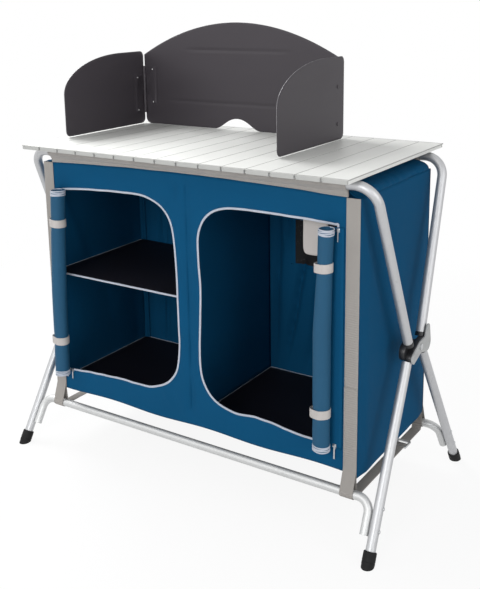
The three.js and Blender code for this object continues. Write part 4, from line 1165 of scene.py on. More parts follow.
def disc_pair(bm, a, b, left, right):
    """The plate round two discs, drawn in (y, z), between two places along x."""
    made = []
    for y, z, radius in (a, b):
        for x in (left, right):
            turned = Matrix.Translation((x, y, z)) @ Matrix.Rotation(math.pi / 2, 4, "Y")
            made += bmesh.ops.create_circle(
                bm, cap_ends=False, segments=TUBE_SIDES, radius=radius, matrix=turned
            )["verts"]
    hull = bmesh.ops.convex_hull(bm, input=made)
    inside = dict.fromkeys([*hull["geom_interior"], *hull["geom_unused"]])
    loose = [g for g in inside if isinstance(g, bmesh.types.BMVert) and g.is_valid]
    bmesh.ops.delete(bm, geom=loose, context="VERTS")
    flattened(bm, 0.5)


def solid_of(build):
    """A closed mesh object for a union or a cut."""
    bm = bmesh.new()
    build(bm)
    bmesh.ops.recalc_face_normals(bm, faces=bm.faces)
    return as_object("part", bm)


def combined(first, *steps):
    """The mesh of a solid after others are joined to it or cut from it, in that order."""
    base = solid_of(first)
    tools = []
    for operation, build in steps:
        tool = solid_of(build)
        tools.append(tool)
        step = base.modifiers.new("Step", "BOOLEAN")
        step.operation = operation
        step.solver = "EXACT"
        step.object = tool
    bpy.context.view_layer.update()
    bm = bmesh.new()
    bm.from_object(base, bpy.context.evaluated_depsgraph_get())
    for made in (base, *tools):
        mesh = made.data
        bpy.data.objects.remove(made)
        bpy.data.meshes.remove(mesh)
    merged(bm, 0.5)
    return bm


class KITCHEN_OT_joints(Operator):
    """Moulds the halves of the scissor joints with their outer plates and rivet pins"""

    bl_idname = "kitchen.joints"
    bl_label = "Pivot Joints"

    def execute(self, context):
        s = context.scene.kitchen_tubes
        lap = RUNNING_GAP / 2
        inner = s.pivot_x - JOINT_HALF
        outer = s.pivot_x + JOINT_HALF
        for side, mirror in SIDES:
            self.half(s, -1, inner, s.pivot_x - lap, mirror, f"inner_joint_{side}", "front_frame")
            self.half(s, 1, s.pivot_x + lap, outer, mirror, f"outer_joint_{side}", "rear_frame")
            self.plate(s, outer, mirror, side)
            self.pin(s, inner, outer + PLATE, mirror, side)
        return {"FINISHED"}

    def shapes(self, s, way, left, right):
        """The hub and the lobe, the hub and the arm, and the pin's hole, as ways to build them."""
        z = s.pivot_z
        hub = (0, z, HUB_RADIUS)
        lobe = (way * LOBE_Y, z - LOBE_DROP, LOBE_RADIUS)
        elbow = lower_axis(z - s.lower_start + SHOULDER, -way)
        arm = (elbow.y, elbow.z, ARM_RADIUS)
        ends = [Vector((x, 0, z)) for x in (left - HOLE_SPARE, right + HOLE_SPARE)]
        return (
            lobe,
            lambda b: disc_pair(b, hub, lobe, left, right),
            ("UNION", lambda b: disc_pair(b, hub, arm, left, right)),
            ("DIFFERENCE", lambda b: rod(b, *ends, PIN_RADIUS + SEAT_GAP)),
        )

    def half(self, s, way, left, right, mirror, node, body):
        z = s.pivot_z
        start = z - s.lower_start
        up = [upper_axis(z + s.upper_start - d, way) for d in (SEAT_GAP, SHOULDER)]
        top = upper_axis(z + s.upper_start + PLUG_LENGTH, way)
        down = [lower_axis(start - d, -way) for d in (-SHOULDER / 2, PLUG_LENGTH)]
        plug = s.radius - s.wall - SEAT_GAP
        room = [lower_axis(start + SEAT_GAP, -way), down[1] + (down[1] - down[0])]
        _, base, arm, hole = self.shapes(s, way, left, right)
        bm = combined(
            base,
            arm,
            ("UNION", lambda b: rod(b, *up, ARM_RADIUS)),
            ("DIFFERENCE", lambda b: rod(b, *room, 2 * s.radius)),
            hole,
        )
        eased(bm, MOULDING_EDGE)
        rod(bm, up[1], top, plug)
        rod(bm, lower_axis(start + SEAT_GAP * 2, -way), down[1], plug)
        bmesh.ops.scale(bm, vec=(mirror, 1, 1), verts=bm.verts)
        finished(node + "_moulding", bm, "black", body, [node])

    def plate(self, s, left, mirror, side):
        right = left + PLATE
        tip = s.pivot_z + TONGUE_RISE
        tongue = (upper_axis(tip, 1).y, tip, TONGUE_RADIUS)
        lobe, base, arm, hole = self.shapes(s, 1, left, right)
        bm = combined(
            base,
            ("UNION", lambda b: disc_pair(b, lobe, tongue, left, right)),
            arm,
            hole,
        )
        eased(bm, PLATE_EDGE)
        bmesh.ops.scale(bm, vec=(mirror, 1, 1), verts=bm.verts)
        finished(f"outer_joint_plate_{side}", bm, "grey", "rear_frame")

    def pin(self, s, inner, outer, mirror, side):
        at = [Vector((mirror * x, 0, s.pivot_z)) for x in (inner - SEAT_GAP, outer + SEAT_GAP)]
        bm = bmesh.new()
        rod(bm, *at, PIN_RADIUS)
        button(bm, at[0], X * -mirror, *PIN_HEAD)
        button(bm, at[1], X * mirror, *PIN_HEAD)
        finished(f"pivot_rivet_{side}", bm, "steel", "front_frame", [f"pivot_pin_{side}"])


class KITCHEN_OT_worktop(Operator):
    """Eases the slats' edges and lays the bands that hold them together"""

    bl_idname = "kitchen.worktop"
    bl_label = "Slat Worktop"

    def execute(self, context):
        for i in range(SLAT_COUNT):
            refined(f"slat_{i + 1:02d}", "slat", "worktop", SLAT_EDGE, 2)
        for name, _ in WAYS:
            node = name + "_top_band"
            low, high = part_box(node)
            bm = grid(low.x, low.y, high.x, high.y, BAND_STEP)
            for v in bm.verts:
                ripple = BAND_RIPPLE * (math.sin(v.co.x / BAND_RIPPLE_RUN) - 1)
                v.co.z = (low.z + high.z) / 2 + ripple
            made = finished(node + "_webbing", bm, "band", "worktop", [node])
            with_thickness(made, high.z - low.z - BAND_SPARE)
            bm = bmesh.new()
            for i in range(SLAT_COUNT):
                x = (i - SLAT_COUNT // 2) * SLAT_PITCH
                for y in (low.y + BAND_RIVET_INSET, high.y - BAND_RIVET_INSET):
                    button(bm, Vector((x, y, low.z + SUNK)), -Z, *BAND_RIVET)
            finished(node + "_rivets", bm, "steel", "worktop")
        return {"FINISHED"}


# Cabinet cloth


def rise(x):
    """How far the front sleeve's lower edge is drawn up between its ends."""
    return FRONT_RISE * max(0.0, 1 - (x / SLEEVE_HALF_LENGTH) ** 2)


def front_place(x, z, out=0.0):
    """The front cloth: soft dents, drawn in along the divider, flat under straps and sleeve."""
    free = ease(0.412 - abs(x), 0, 0.05) * ease(0.768 - z, 0, 0.03) * ease(z - 0.172, 0, 0.03)
    slack = 0.0036 * wave(x * 7, z * 4.5, 1.7) + 0.0020 * wave(x * 19, z * 11, 5.2)
    slack += 0.0024 * wave(x * 30 + z * 12, z * 7 - x * 5, 8.1)
    groove = 0.0040 * bell(x, 0.010)
    dent = 0.0056 * bell(x + 0.035, 0.012) * bell(z - 0.738, 0.016)
    roll = ease(abs(x), 0.325, 0.345)
    y = free * (slack * (1 - roll) + abs(slack) * 0.5 * roll + groove + dent)
    return Vector((x, -PANEL_Y + y - out, z + rise(x) * ease(z, 0.722, PANEL_TOP)))


class KITCHEN_OT_front_cloth(Operator):
    """Sews the front panel with its two bound doorways"""

    bl_idname = "kitchen.front_cloth"
    bl_label = "Front Cloth"

    def execute(self, context):
        bm = grid(-PANEL_X, PANEL_LOW, PANEL_X, PANEL_TOP, FRONT_STEP)
        edges = {name: through(edge, DOOR_EDGE_STEP) for name, edge in DOOR_EDGES.items()}
        for edge in edges.values():
            trimmed(bm, edge, False, FRONT_STEP)
        laid(bm, front_place)
        for v in bm.verts:
            lower = 1 - ease(v.co.z, PANEL_LOW, 0.20)
            v.co.z += lower * 0.0024 * (1 + math.sin(v.co.x * 21 + 0.6))
        panel = finished("front_cloth", bm, "cloth", "cabinet", ["front_panel"])
        with_thickness(panel, CLOTH)
        for name, edge in edges.items():
            line = [front_place(x, z, BINDING_OUT) for x, z in edge]
            bm = edging(bmesh.new(), line, Y, *BINDING, closed=True)
            finished(f"doorway_binding_{name}", bm, "binding", "cabinet")
        return {"FINISHED"}


class KITCHEN_OT_walls(Operator):
    """Hangs the rear panel with its net window, the side panels, the divider and the roof"""

    bl_idname = "kitchen.walls"
    bl_label = "Cabinet Walls"

    def execute(self, context):
        self.rear()
        self.sides()
        self.divider()
        self.roof()
        self.tab()
        self.gathers()
        return {"FINISHED"}

    def rear_place(self, x, z, out=0.0):
        """The rear cloth: upright folds, closer at its left end, and the long creases."""
        free = ease(0.411 - abs(x), 0, 0.018) * ease(0.762 - z, 0, 0.02)
        folds = 0.5 + 0.5 * wave(x * 13 + 0.6 * wave(x * 3, z * 3, 2.2), z * 1.6, 3.3)
        fine = 0.5 + 0.5 * wave(x * 34, z * 7, 6.6)
        corner = bell(x + 0.37, 0.05) * (0.5 - 0.5 * math.cos(x * 330 + z * 3))
        creases = 0.0
        for x1, z1, x0, z0, wide, deep in REAR_CREASES:
            share = (z - z0) / (z1 - z0)
            middle = x0 + (x1 - x0) * share + 0.004 * wave(z * 9, x0 * 20, 5.5)
            ends = ease(share, -0.25, 0.30) * (1 - ease(share, 0.75, 1.25))
            creases = max(creases, ends * deep * bell(x - middle, wide))
        y = free * (0.0036 * folds + 0.0012 * fine + 0.0034 * corner + creases)
        return Vector((x, PANEL_Y + y + out, z))

    def rear(self):
        left, low, right, high = MESH_WINDOW
        bm = grid(-PANEL_X, PANEL_LOW, PANEL_X, PANEL_TOP, WALL_STEP)
        corners = [(left, low), (right, low), (right, high), (left, high)]
        trimmed(bm, corners, False, WALL_STEP)
        laid(bm, self.rear_place)
        made = finished("rear_cloth", bm, "cloth", "cabinet", ["rear_panel"])
        with_thickness(made, CLOTH)
        folds_flat(made)
        seam = WINDOW_SEAM
        bm = grid(left - seam, low - seam, right + seam, high + seam, NET_STEP)
        laid(bm, lambda x, z: self.rear_place(x, z, -NET_IN))
        net = finished("rear_window_net", bm, "net", "cabinet")
        with_thickness(net, NET_THICKNESS)
        folds_flat(net)
        edge = through(self.rounded(corners, WINDOW_CORNER), WINDOW_CORNER)
        for name, out in WINDOW_TAPE_OUT.items():
            line = [self.rear_place(x, z, out) for x, z in edge]
            bm = edging(bmesh.new(), line, Y, *WINDOW_TAPE, closed=True)
            folds_flat(finished(f"rear_window_tape_{name}", bm, "cloth", "cabinet"))

    def rounded(self, corners, r):
        """Three points for each corner of a window, which round it off."""
        points = []
        for (x, z), (dx, dz) in zip(corners, ((r, r), (-r, r), (-r, -r), (r, -r))):
            ends = [(x, z + dz), (x + dx, z)]
            first, second = ends if dx == dz else reversed(ends)
            points += [first, (x + dx * 0.3, z + dz * 0.3), second]
        return points

    def side_place(self, y, z, mirror):
        """A side: loose folds, and a crease and a ridge that slant down from its upper front."""
        seed = 11.0 + mirror
        free = ease(0.186 - abs(y), 0, 0.045) * ease(0.770 - z, 0, 0.05)
        folds = 0.5 + 0.5 * wave(y * 9 + z * 2.2, z * 1.5, seed)
        fine = 0.5 + 0.5 * wave(y * 26 - z * 5, z * 6, seed + 3)
        fall = (0.765 - z) / 0.46
        crease = bell(y + 0.176 - 0.20 * fall, 0.017) * (1 - ease(fall, 0.1, 1.0))
        ridge = bell(y + 0.128 - 0.16 * fall, 0.026) * (1 - ease(fall, 0.2, 1.3))
        bow = (0.5 + 0.5 * math.sin(y * 34 + 2.2 * z + 0.6)) * (1 - ease(z, 0.30, 0.62))
        out = 0.0040 * folds + 0.0012 * fine + 0.0042 * ridge - 0.0030 * crease + 0.0024 * bow
        return Vector((mirror * (WALL_X + free * out), y, z))

    def sides(self):
        for name, mirror in SIDES:
            bm = grid(-SIDE_Y, SIDE_BOTTOM, SIDE_Y, PANEL_TOP, WALL_STEP)
            laid(bm, lambda y, z: self.side_place(y, z, mirror))
            made = finished(f"side_cloth_{name}", bm, "cloth", "cabinet", [f"side_panel_{name}"])
            with_thickness(made, CLOTH)
            folds_flat(made)

    def divider(self):
        bm = grid(-SIDE_Y, DIVIDER_LOW, SIDE_Y, DIVIDER_TOP, DIVIDER_STEP)
        for v in bm.verts:
            y, z = v.co.x, v.co.y
            narrow = 1 - 0.045 * ease(z, 0.752, 0.768)
            v.co = (0.0006 * wave(y * 8, z * 5, 2.1), y * narrow, z)
        made = finished("divider_cloth", bm, "cloth", "cabinet", ["divider_panel"])
        with_thickness(made, CLOTH)
        folds_flat(made)

    def roof_place(self, u, y):
        """The roof: level, bent down over both walls, and drawn down at its front corners."""
        flat = min(abs(u), ROOF_FLAT)
        x = flat
        z = ROOF_Z - ROOF_SAG * (1 - (flat / ROOF_FLAT) ** 2)
        over = abs(u) - ROOF_FLAT
        if over > 0:
            t = min(1.0, over / (ROOF_X - ROOF_FLAT))
            x = ROOF_FLAT + (WALL_X - ROOF_FLAT) * (2 * t - t * t)
            z = ROOF_Z - (ROOF_Z - PANEL_TOP) * t * t
        corner = ease(abs(u), ROOF_FLAT - 0.004, 0.424) * ease(-y, 0.105, 0.160)
        z += (PANEL_TOP - z) * corner
        pucker = 0.0020 * wave(y * 55, u * 18, 4.4) * ease(abs(u), 0.36, 0.42)
        z += 0.0012 * wave(u * 9, y * 9, 7.7) * ease(0.425 - abs(u), 0, 0.04)
        return Vector((math.copysign(x + pucker, u), y, z + pucker * 0.5))

    def roof(self):
        bm = grid(-ROOF_X, -ROOF_Y, ROOF_X, ROOF_Y, WALL_STEP)
        laid(bm, self.roof_place)
        made = finished("roof_cloth", bm, "cloth", "cabinet", ["roof"])
        with_thickness(made, CLOTH)
        folds_flat(made)

    def gathers(self):
        """Loose cloth of the rear corner seam, in upright folds above and below the shelf."""
        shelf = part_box("shelf")[1].z
        spans = {"upper": (shelf + 0.001, 0.775), "lower": (0.169, shelf - 0.008)}
        for name, (low, high) in spans.items():
            bm = bmesh.new()
            for number, (x, y, wide) in enumerate(GATHERS):
                line = []
                for z in np.linspace(low, high, 26):
                    sway = 0.0030 * wave(z * 6, number * 3.0, 4.0)
                    line.append(Vector((x + sway, y + 0.0008 * wave(z * 9, number, 8.0), z)))
                edging(bm, line, Vector((0.4, -1, 0)), wide, 0.0050, 14)
            folds_flat(finished(f"corner_gather_{name}", bm, "cloth", "cabinet",
                                smooth=60))

    def tab(self):
        """The light flap that hangs inside the right compartment."""
        bm = grid(*FLAP_BOX, FLAP_STEP)
        trimmed(bm, through(FLAP_EDGE, FLAP_STEP), True, FLAP_STEP)
        laid(bm, lambda x, z: Vector((x, FLAP_Y + 0.002 * wave(x * 20, z * 12, 9.1), z)))
        made = finished("hanging_flap", bm, "tape", "cabinet")
        with_thickness(made, FLAP_THICKNESS)
        folds_flat(made)


class KITCHEN_OT_boards(Operator):
    """Covers the floor board and the shelf and binds their edges"""

    bl_idname = "kitchen.boards"
    bl_label = "Floor and Shelf"

    def execute(self, context):
        for node in ("floor_board", "shelf"):
            low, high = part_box(node)
            middle = (low + high) / 2
            half = (high.x - low.x) / 2
            bm = grid(low.x, low.y, high.x, high.y, BOARD_STEP)
            for v in bm.verts:
                x, y, _ = v.co
                sag = BOARD_SAG * (1 - ((x - middle.x) / half) ** 2)
                v.co.z = middle.z - sag + 0.0004 * wave(x * 9, y * 9, 3.0)
            made = finished(node + "_cover", bm, "board", "cabinet", [node])
            with_thickness(made, high.z - low.z - BOARD_SAG)
            made.modifiers.new("Edge", "BEVEL").width = BOARD_EDGE
            folds_flat(made)
        self.bindings()
        return {"FINISHED"}

    def bindings(self):
        """The bound edges of the shelf, and the seams round the floor."""
        low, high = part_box("shelf")
        floor_low, floor_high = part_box("floor_board")
        xs = np.linspace(low.x + 0.001, high.x - 0.001, 60)
        waves = [0.0010 * wave(x * 12, 0, 1.0) for x in xs]
        front = [Vector((x, low.y - 0.0008, high.z - 0.0026 + up)) for x, up in zip(xs, waves)]
        side = [Vector((low.x + 0.0006, y, high.z - 0.0004))
                for y in np.linspace(low.y, high.y - 0.002, 24)]
        lines = {"shelf_front_binding": (front, SHELF_BINDING),
                 "shelf_side_binding": (side, SHELF_SIDE_BINDING)}
        z = floor_high.z + 0.0002
        for name, x in (("floor_seam_left", floor_low.x + 0.0012), ("floor_seam_middle", 0.0022)):
            ys = np.linspace(floor_low.y + 0.004, floor_high.y - 0.002, 24)
            lines[name] = ([Vector((x, y, z)) for y in ys], FLOOR_SEAM)
        for name, start, end in (("floor_seam_rear", 0.003, floor_high.x - 0.002),
                                 ("floor_seam_rear_left", floor_low.x + 0.002, -0.003)):
            line = [Vector((x, floor_high.y - 0.0010, z)) for x in np.linspace(start, end, 40)]
            lines[name] = (line, FLOOR_SEAM)
        for name, (line, width_and_height) in lines.items():
            bm = edging(bmesh.new(), line, Z, *width_and_height, 10)
            folds_flat(finished(name, bm, "binding", "cabinet"))


class KITCHEN_OT_door_rolls(Operator):
    """Rolls up both doors and holds them with bands"""

    bl_idname = "kitchen.door_rolls"
    bl_label = "Rolled Doors"

    def execute(self, context):
        for name, roll in ROLLS.items():
            self.cloth(name, roll)
            for end in ("top", "bottom"):
                self.binding(name, roll, end)
            self.bands(name, roll)
            self.pulls(name)
        return {"FINISHED"}

    def at(self, roll, z):
        """Middle of the roll at a height, and its radius there."""
        heights, places, radii = zip(*roll["line"])
        radius = float(np.interp(z, heights, radii))
        held = sum(bell(z - band, 0.018) for band in roll["bands"])
        radius *= 1 + 0.022 * wave(z * 8, 0.4, 2.0 + roll["side"]) - 0.05 * held
        x = float(np.interp(z, heights, places))
        return Vector((x, -PANEL_Y - ROLL_BACK - radius, z)), radius

    def turn_of(self, roll, share, z):
        """A point on the spiral. The share runs from its core, 0, to its outside, 1."""
        middle, radius = self.at(roll, z)
        angle = math.pi / 2 - 2 * math.pi * ROLL_TURNS * (1 - share)
        reach = ROLL_CORE + (radius - ROLL_CLOTH / 2 - ROLL_CORE) * share
        reach *= 1 + 0.018 * math.sin(2 * angle + z * 7) + 0.012 * math.sin(5 * angle - z * 11)
        x = reach * math.cos(angle) * -roll["side"]
        return middle + Vector((x, reach * math.sin(angle), 0))

    def ends(self, roll, share):
        """Lower and upper end of the cloth there: the inner turns lie a little deeper."""
        drop = 0.001 + 0.0012 * ROLL_TURNS * (1 - share)
        return roll["line"][0][0] + drop, roll["line"][-1][0] - drop

    def outer_turn(self, roll, z, out):
        """A line round the outermost turn at a height, that far outside its cloth."""
        middle = self.at(roll, z)[0]
        line = []
        for left in np.linspace(1, 0, HEM_STEPS + 1):
            arm = self.turn_of(roll, 1 - left / ROLL_TURNS, z) - middle
            line.append(middle + arm * (1 + (out + ROLL_CLOTH / 2) / arm.length))
        return line

    def cloth(self, name, roll):
        steps = ROLL_TURNS * ROLL_STEPS
        whole = steps + ROLL_TAIL
        bm = bmesh.new()
        bmesh.ops.create_grid(bm, x_segments=whole, y_segments=ROLL_ROWS, size=0.5)
        seam = Vector((roll["side"] * DOOR_SEAM_X, -PANEL_Y - SEAM_OUT, 0))
        for f in bm.faces:  # towards the seam one sees the cloth's outer face
            f.material_index = int(f.calc_center_median().x + 0.5 > steps / whole)
        for v in bm.verts:
            i = (v.co.x + 0.5) * whole
            share = min(1.0, i / steps)
            low, high = self.ends(roll, share)
            seam.z = low + (high - low) * (v.co.y + 0.5)
            spot = self.turn_of(roll, share, seam.z)
            v.co = spot.lerp(seam, max(0.0, (i - steps) / ROLL_TAIL))
        made = finished(f"door_roll_cloth_{name}", bm, ["roll", "cloth"], "cabinet",
                        [f"door_roll_{name}"], smooth=60)
        with_thickness(made, ROLL_CLOTH)

    def binding(self, name, roll, end):
        """The bound hems, which lie a little past each other round the end."""
        for number in range(ROLL_RINGS):
            along = HEM_START + ROLL_RING_STEP * number
            z = roll["line"][-1][0] - along if end == "top" else roll["line"][0][0] + along
            line = self.outer_turn(roll, z, -0.0002)
            for k, spot in enumerate(line):
                spot.z += 0.0006 * math.sin(k * 0.29 + number * 2.1)
            bm = edging(bmesh.new(), line, Z, *HEM_SIZE, 8)
            finished(f"door_roll_hem_{name}_{end}_{number + 1}", bm, "binding", "cabinet",
                     smooth=60)

    def bands(self, name, roll):
        """Flat tape round the roll, whose end stands off a little on the left."""
        for number, z in enumerate(roll["bands"]):
            line = self.outer_turn(roll, z, BAND_OUT)
            middle = self.at(roll, z)[0]
            for k, spot in enumerate(line):
                arm = (spot - middle).normalized()
                away = max(0.0, -arm.dot(Vector((0.94, 0.34, 0)))) ** 8
                spot += arm * 0.0060 * away
                spot.z += 0.0010 * math.sin(k * 0.14)
            bm = bmesh.new()
            strip(bm, line, Z, *BAND_SIZE)
            finished(f"door_roll_band_{name}_{number + 1}", bm, "tape", "cabinet",
                     smooth=60)

    def pulls(self, name):
        """Small metal zip pulls with their tabs, at the corners of the doorway."""
        for number, (x, z, out, reach) in enumerate(PULLS[name]):
            y = -PANEL_Y - out
            bm = bmesh.new()
            block(bm, (x, y, z), PULL_BLOCK)
            eased(bm, METAL_EDGE)
            line = [Vector((x, y - 0.0026, z + 0.003)), Vector((x + 0.0004, y - 0.0032, z - 0.006)),
                    Vector((x, y - 0.0030, z - reach))]
            edging(bm, line, Y, *PULL_TAB)
            finished(f"zip_pull_{name}_{number + 1}", bm, "steel", "cabinet")


class KITCHEN_OT_sleeves(Operator):
    """Sews the tape sleeves round both rails"""

    bl_idname = "kitchen.sleeves"
    bl_label = "Rail Sleeves"

    def execute(self, context):
        s = context.scene.kitchen_tubes
        radius = s.radius + SEAT_GAP + SLEEVE_CLOTH / 2
        for name, way, body in (("front", -1, "cabinet"), ("rear", 1, "rear_frame")):
            outline = self.outline(s, radius)
            bm = bmesh.new()
            verts = [bm.verts.new((-SLEEVE_HALF_LENGTH, way * y, z)) for y, z in outline]
            edges = [bm.edges.new(pair) for pair in zip(verts, verts[1:])]
            for _ in range(SLEEVE_STEPS):
                moved, edges = extruded(bm, edges)
                run = 2 * SLEEVE_HALF_LENGTH / SLEEVE_STEPS
                bmesh.ops.translate(bm, vec=(run, 0, 0), verts=moved)
            for v in bm.verts:
                low = 1 - ease(v.co.z, 0.772, 0.790)
                v.co.y -= way * 0.0006 * low * wave(v.co.x * 24, v.co.z * 20, 3.0 + way)
                v.co.z += 0.0008 * low * wave(v.co.x * 15, 0, 6.0 + way)
                if way < 0:
                    v.co.z += rise(v.co.x) * low
                away = Vector((0, v.co.y - way * s.rail_y, v.co.z - s.rail_z))
                if away.length < radius:
                    v.co += away * (radius / away.length - 1)
            made = finished(f"{name}_sleeve_tape", bm, "sleeve", body, [f"{name}_sleeve"])
            with_thickness(made, SLEEVE_CLOTH * 0.8)
        return {"FINISHED"}

    def outline(self, s, radius):
        """From the outer tail up, round the rail, and down to the inner tail, as (y, z)."""
        start, turn = 0.25 - math.pi / 2, 2 * math.pi - 0.6
        angles = [start + turn * k / SLEEVE_TURNS for k in range(SLEEVE_TURNS + 1)]
        return [
            (PANEL_Y + 0.0008, SLEEVE_TAIL_LOW),
            (PANEL_Y + 0.0010, SLEEVE_TAIL_TOP),
            *[(s.rail_y + radius * math.cos(a), s.rail_z + radius * math.sin(a)) for a in angles],
            (PANEL_Y - 0.0012, SLEEVE_TAIL_TOP),
            (PANEL_Y - 0.0010, SLEEVE_TAIL_LOW),
        ]


def edge_on(line):
    """The way a strap's thickness points, where it bends only up, down, forward and back."""
    return lambda i: X.cross(line[min(i + 1, len(line) - 1)] - line[max(i - 1, 0)])


def filled(points, step):
    """A line of corners with more points between them."""
    made = [points[0]]
    for a, b in zip(points, points[1:]):
        count = max(1, round((b - a).length / step))
        made += [a.lerp(b, k / count) for k in range(1, count + 1)]
    return made


class KITCHEN_OT_straps(Operator):
    """Hangs the corner straps on the crossbars and joins them with the bottom straps"""

    bl_idname = "kitchen.straps"
    bl_label = "Straps"

    def execute(self, context):
        s = context.scene.kitchen_tubes
        bar = lower_axis(s.bar_z, 1).y
        near = STRAP_FACE + SEAT_GAP + STRAP_THICKNESS / 2
        loop = s.bar_radius + SEAT_GAP + STRAP_THICKNESS / 2 + SUNK
        for name, way in WAYS:
            angles = np.linspace(math.pi, 2 * math.pi + STRAP_TURN_END, 27)
            turn = [Vector((0, way * (bar + loop * math.cos(a)), s.bar_z + loop * math.sin(a)))
                    for a in angles]
            down = filled([Vector((0, way * near, z)) for z in (PANEL_TOP, PANEL_LOW)], 0.02)
            drop = filled([down[-1], turn[0]], STRAP_STEP)[1:-1]
            lap = way * (near + STRAP_THICKNESS * 1.1)
            meet, join = (Vector((0, lap, z)) for z in (STRAP_MEET_Z, STRAP_JOIN_Z))
            closure = filled([turn[-1], meet, join], STRAP_STEP)
            for side, mirror in SIDES:
                webbing = self.strap(mirror, down + drop + turn)
                made = finished(f"{name}_corner_webbing_{side}", webbing, "webbing", "cabinet",
                                [f"{name}_corner_strap_{side}"], smooth=60)
                hooks = finished(f"{name}_corner_closure_{side}", self.strap(mirror, closure),
                                 "hook_tape", "cabinet", smooth=60)
                if way > 0:
                    folds_flat(made)
                    folds_flat(hooks)
        self.bottom(s, bar)
        self.buckle()
        return {"FINISHED"}

    def strap(self, mirror, line):
        """A corner strap along a line drawn in y and z."""
        bm = bmesh.new()
        line = [Vector((mirror * (PANEL_X - STRAP_WIDTH / 2), p.y, p.z)) for p in line]
        strip(bm, line, edge_on(line), STRAP_WIDTH, STRAP_THICKNESS)
        return bm

    def bottom(self, s, bar):
        end = bar - s.bar_radius - 2 * SEAT_GAP - STRAP_THICKNESS * 1.5
        low = BOTTOM_STRAP_Z + 0.001
        corners = [Vector((0, y, z)) for y, z in (
            (-end, s.bar_z), (0.006 - end, low), (end - 0.006, low), (end, s.bar_z))]
        slot = [Vector((0, BUCKLE_Y + y, low)) for y in BUCKLE_SLOT]
        runs = {"left": [corners], "right": [[*corners[:2], slot[0]], [slot[1], *corners[2:]]]}
        for side, mirror in SIDES:
            bm = bmesh.new()
            for run in runs[side]:
                line = [Vector((mirror * BOTTOM_STRAP_X, p.y, p.z))
                        for p in filled(run, STRAP_STEP)]
                strip(bm, line, edge_on(line), BOTTOM_STRAP_WIDTH, STRAP_THICKNESS)
            made = finished(f"bottom_webbing_{side}", bm, "webbing_level", "cabinet",
                            [f"bottom_strap_{side}"], smooth=60)
            folds_flat(made)

    def buckle(self):
        """A ladder buckle: a frame with a middle bar."""
        half = BOTTOM_STRAP_WIDTH / 2 + BUCKLE_BAR

        def slab(wide, y0, y1):
            middle = (BOTTOM_STRAP_X, BUCKLE_Y + (y0 + y1) / 2, BOTTOM_STRAP_Z)
            return lambda b: block(b, middle, (2 * wide, y1 - y0, BUCKLE_THICKNESS))

        opening = half - BUCKLE_BAR
        inside = BUCKLE_HALF - BUCKLE_BAR
        bm = combined(
            slab(half, -BUCKLE_HALF, BUCKLE_HALF),
            ("DIFFERENCE", slab(opening, BUCKLE_BAR / 2, inside)),
            ("DIFFERENCE", slab(opening, -inside, -BUCKLE_BAR / 2)),
        )
        eased(bm, METAL_EDGE)
        folds_flat(finished("bottom_strap_buckle", bm, "steel", "cabinet"))


# Windscreen


def bezier(points, steps):
    """Points on the curve that two, three or four points pull."""
    made = []
    for k in range(steps + 1):
        t = k / steps
        level = [Vector(p) for p in points]
        while len(level) > 1:
            level = [a.lerp(b, t) for a, b in zip(level, level[1:])]
        made.append(level[0])
    return made


def corner_arc(x, z, r, start):
    angles = [start + math.pi / 2 * k / 10 for k in range(11)]
    return [Vector((x + r * math.cos(a), z + r * math.sin(a))) for a in angles]


def back_outline(s):
    """The back panel seen from the front, its middle at x = 0, the worktop at z = 0."""
    half, base, r = s.width / 2, SEAT_GAP, s.corner
    foot, low_pull, high_pull, height = NOTCH
    peak = base + height
    notch = bezier([(-foot, base), (-low_pull, base), (-high_pull, peak), (0, peak)], 16)
    notch += bezier([(0, peak), (high_pull, peak), (low_pull, base), (foot, base)], 16)[1:]
    crown = [(half, s.side_height), (0, 2 * s.peak_height - s.side_height), (-half, s.side_height)]
    return [
        *corner_arc(half - r, base + r, r, -math.pi / 2), *bezier(crown, 60),
        *corner_arc(-half + r, base + r, r, math.pi), *notch,
    ]


def wing_outline(s):
    """A wing lying along +x behind its hinge axis."""
    rear = WING_GAP - HINGE_REACH
    front = rear + s.wing_length
    base, r = WING_BASE, WING_CORNER
    top = base + s.wing_height
    swept = [(front, WING_LOW), (front, WING_LOW + (top - WING_LOW) * 0.51),
             (front - WING_SWEEP * 0.39, top), (front - WING_SWEEP, top)]
    return [
        *corner_arc(front - r, base + r, r, -math.pi / 2), *bezier(swept, 40),
        *corner_arc(rear + r, top - r, r, math.pi / 2), *corner_arc(rear + r, base + r, r, math.pi),
    ]


def steel_sheet(name, outline, step, place, thickness, node, body):
    """A thin panel with its rim in a lighter finish: bare steel with a painted highlight."""
    xs, zs = zip(*outline)
    bm = grid(min(xs), min(zs), max(xs), max(zs), step)
    trimmed(bm, outline, True, step)
    laid(bm, place)
    made = finished(name, bm, ["screen", "screen_edge"], body, [node], turn=False)
    # The rim faces take the lighter edge finish: bare steel with a painted highlight.
    with_thickness(made, thickness).modifiers["Thickness"].material_offset_rim = 1
    edge = made.modifiers.new("Edge", "BEVEL")
    edge.width = SHEET_EDGE
    edge.segments = 1
    edge.limit_method = "ANGLE"
    edge.angle_limit = math.radians(60)


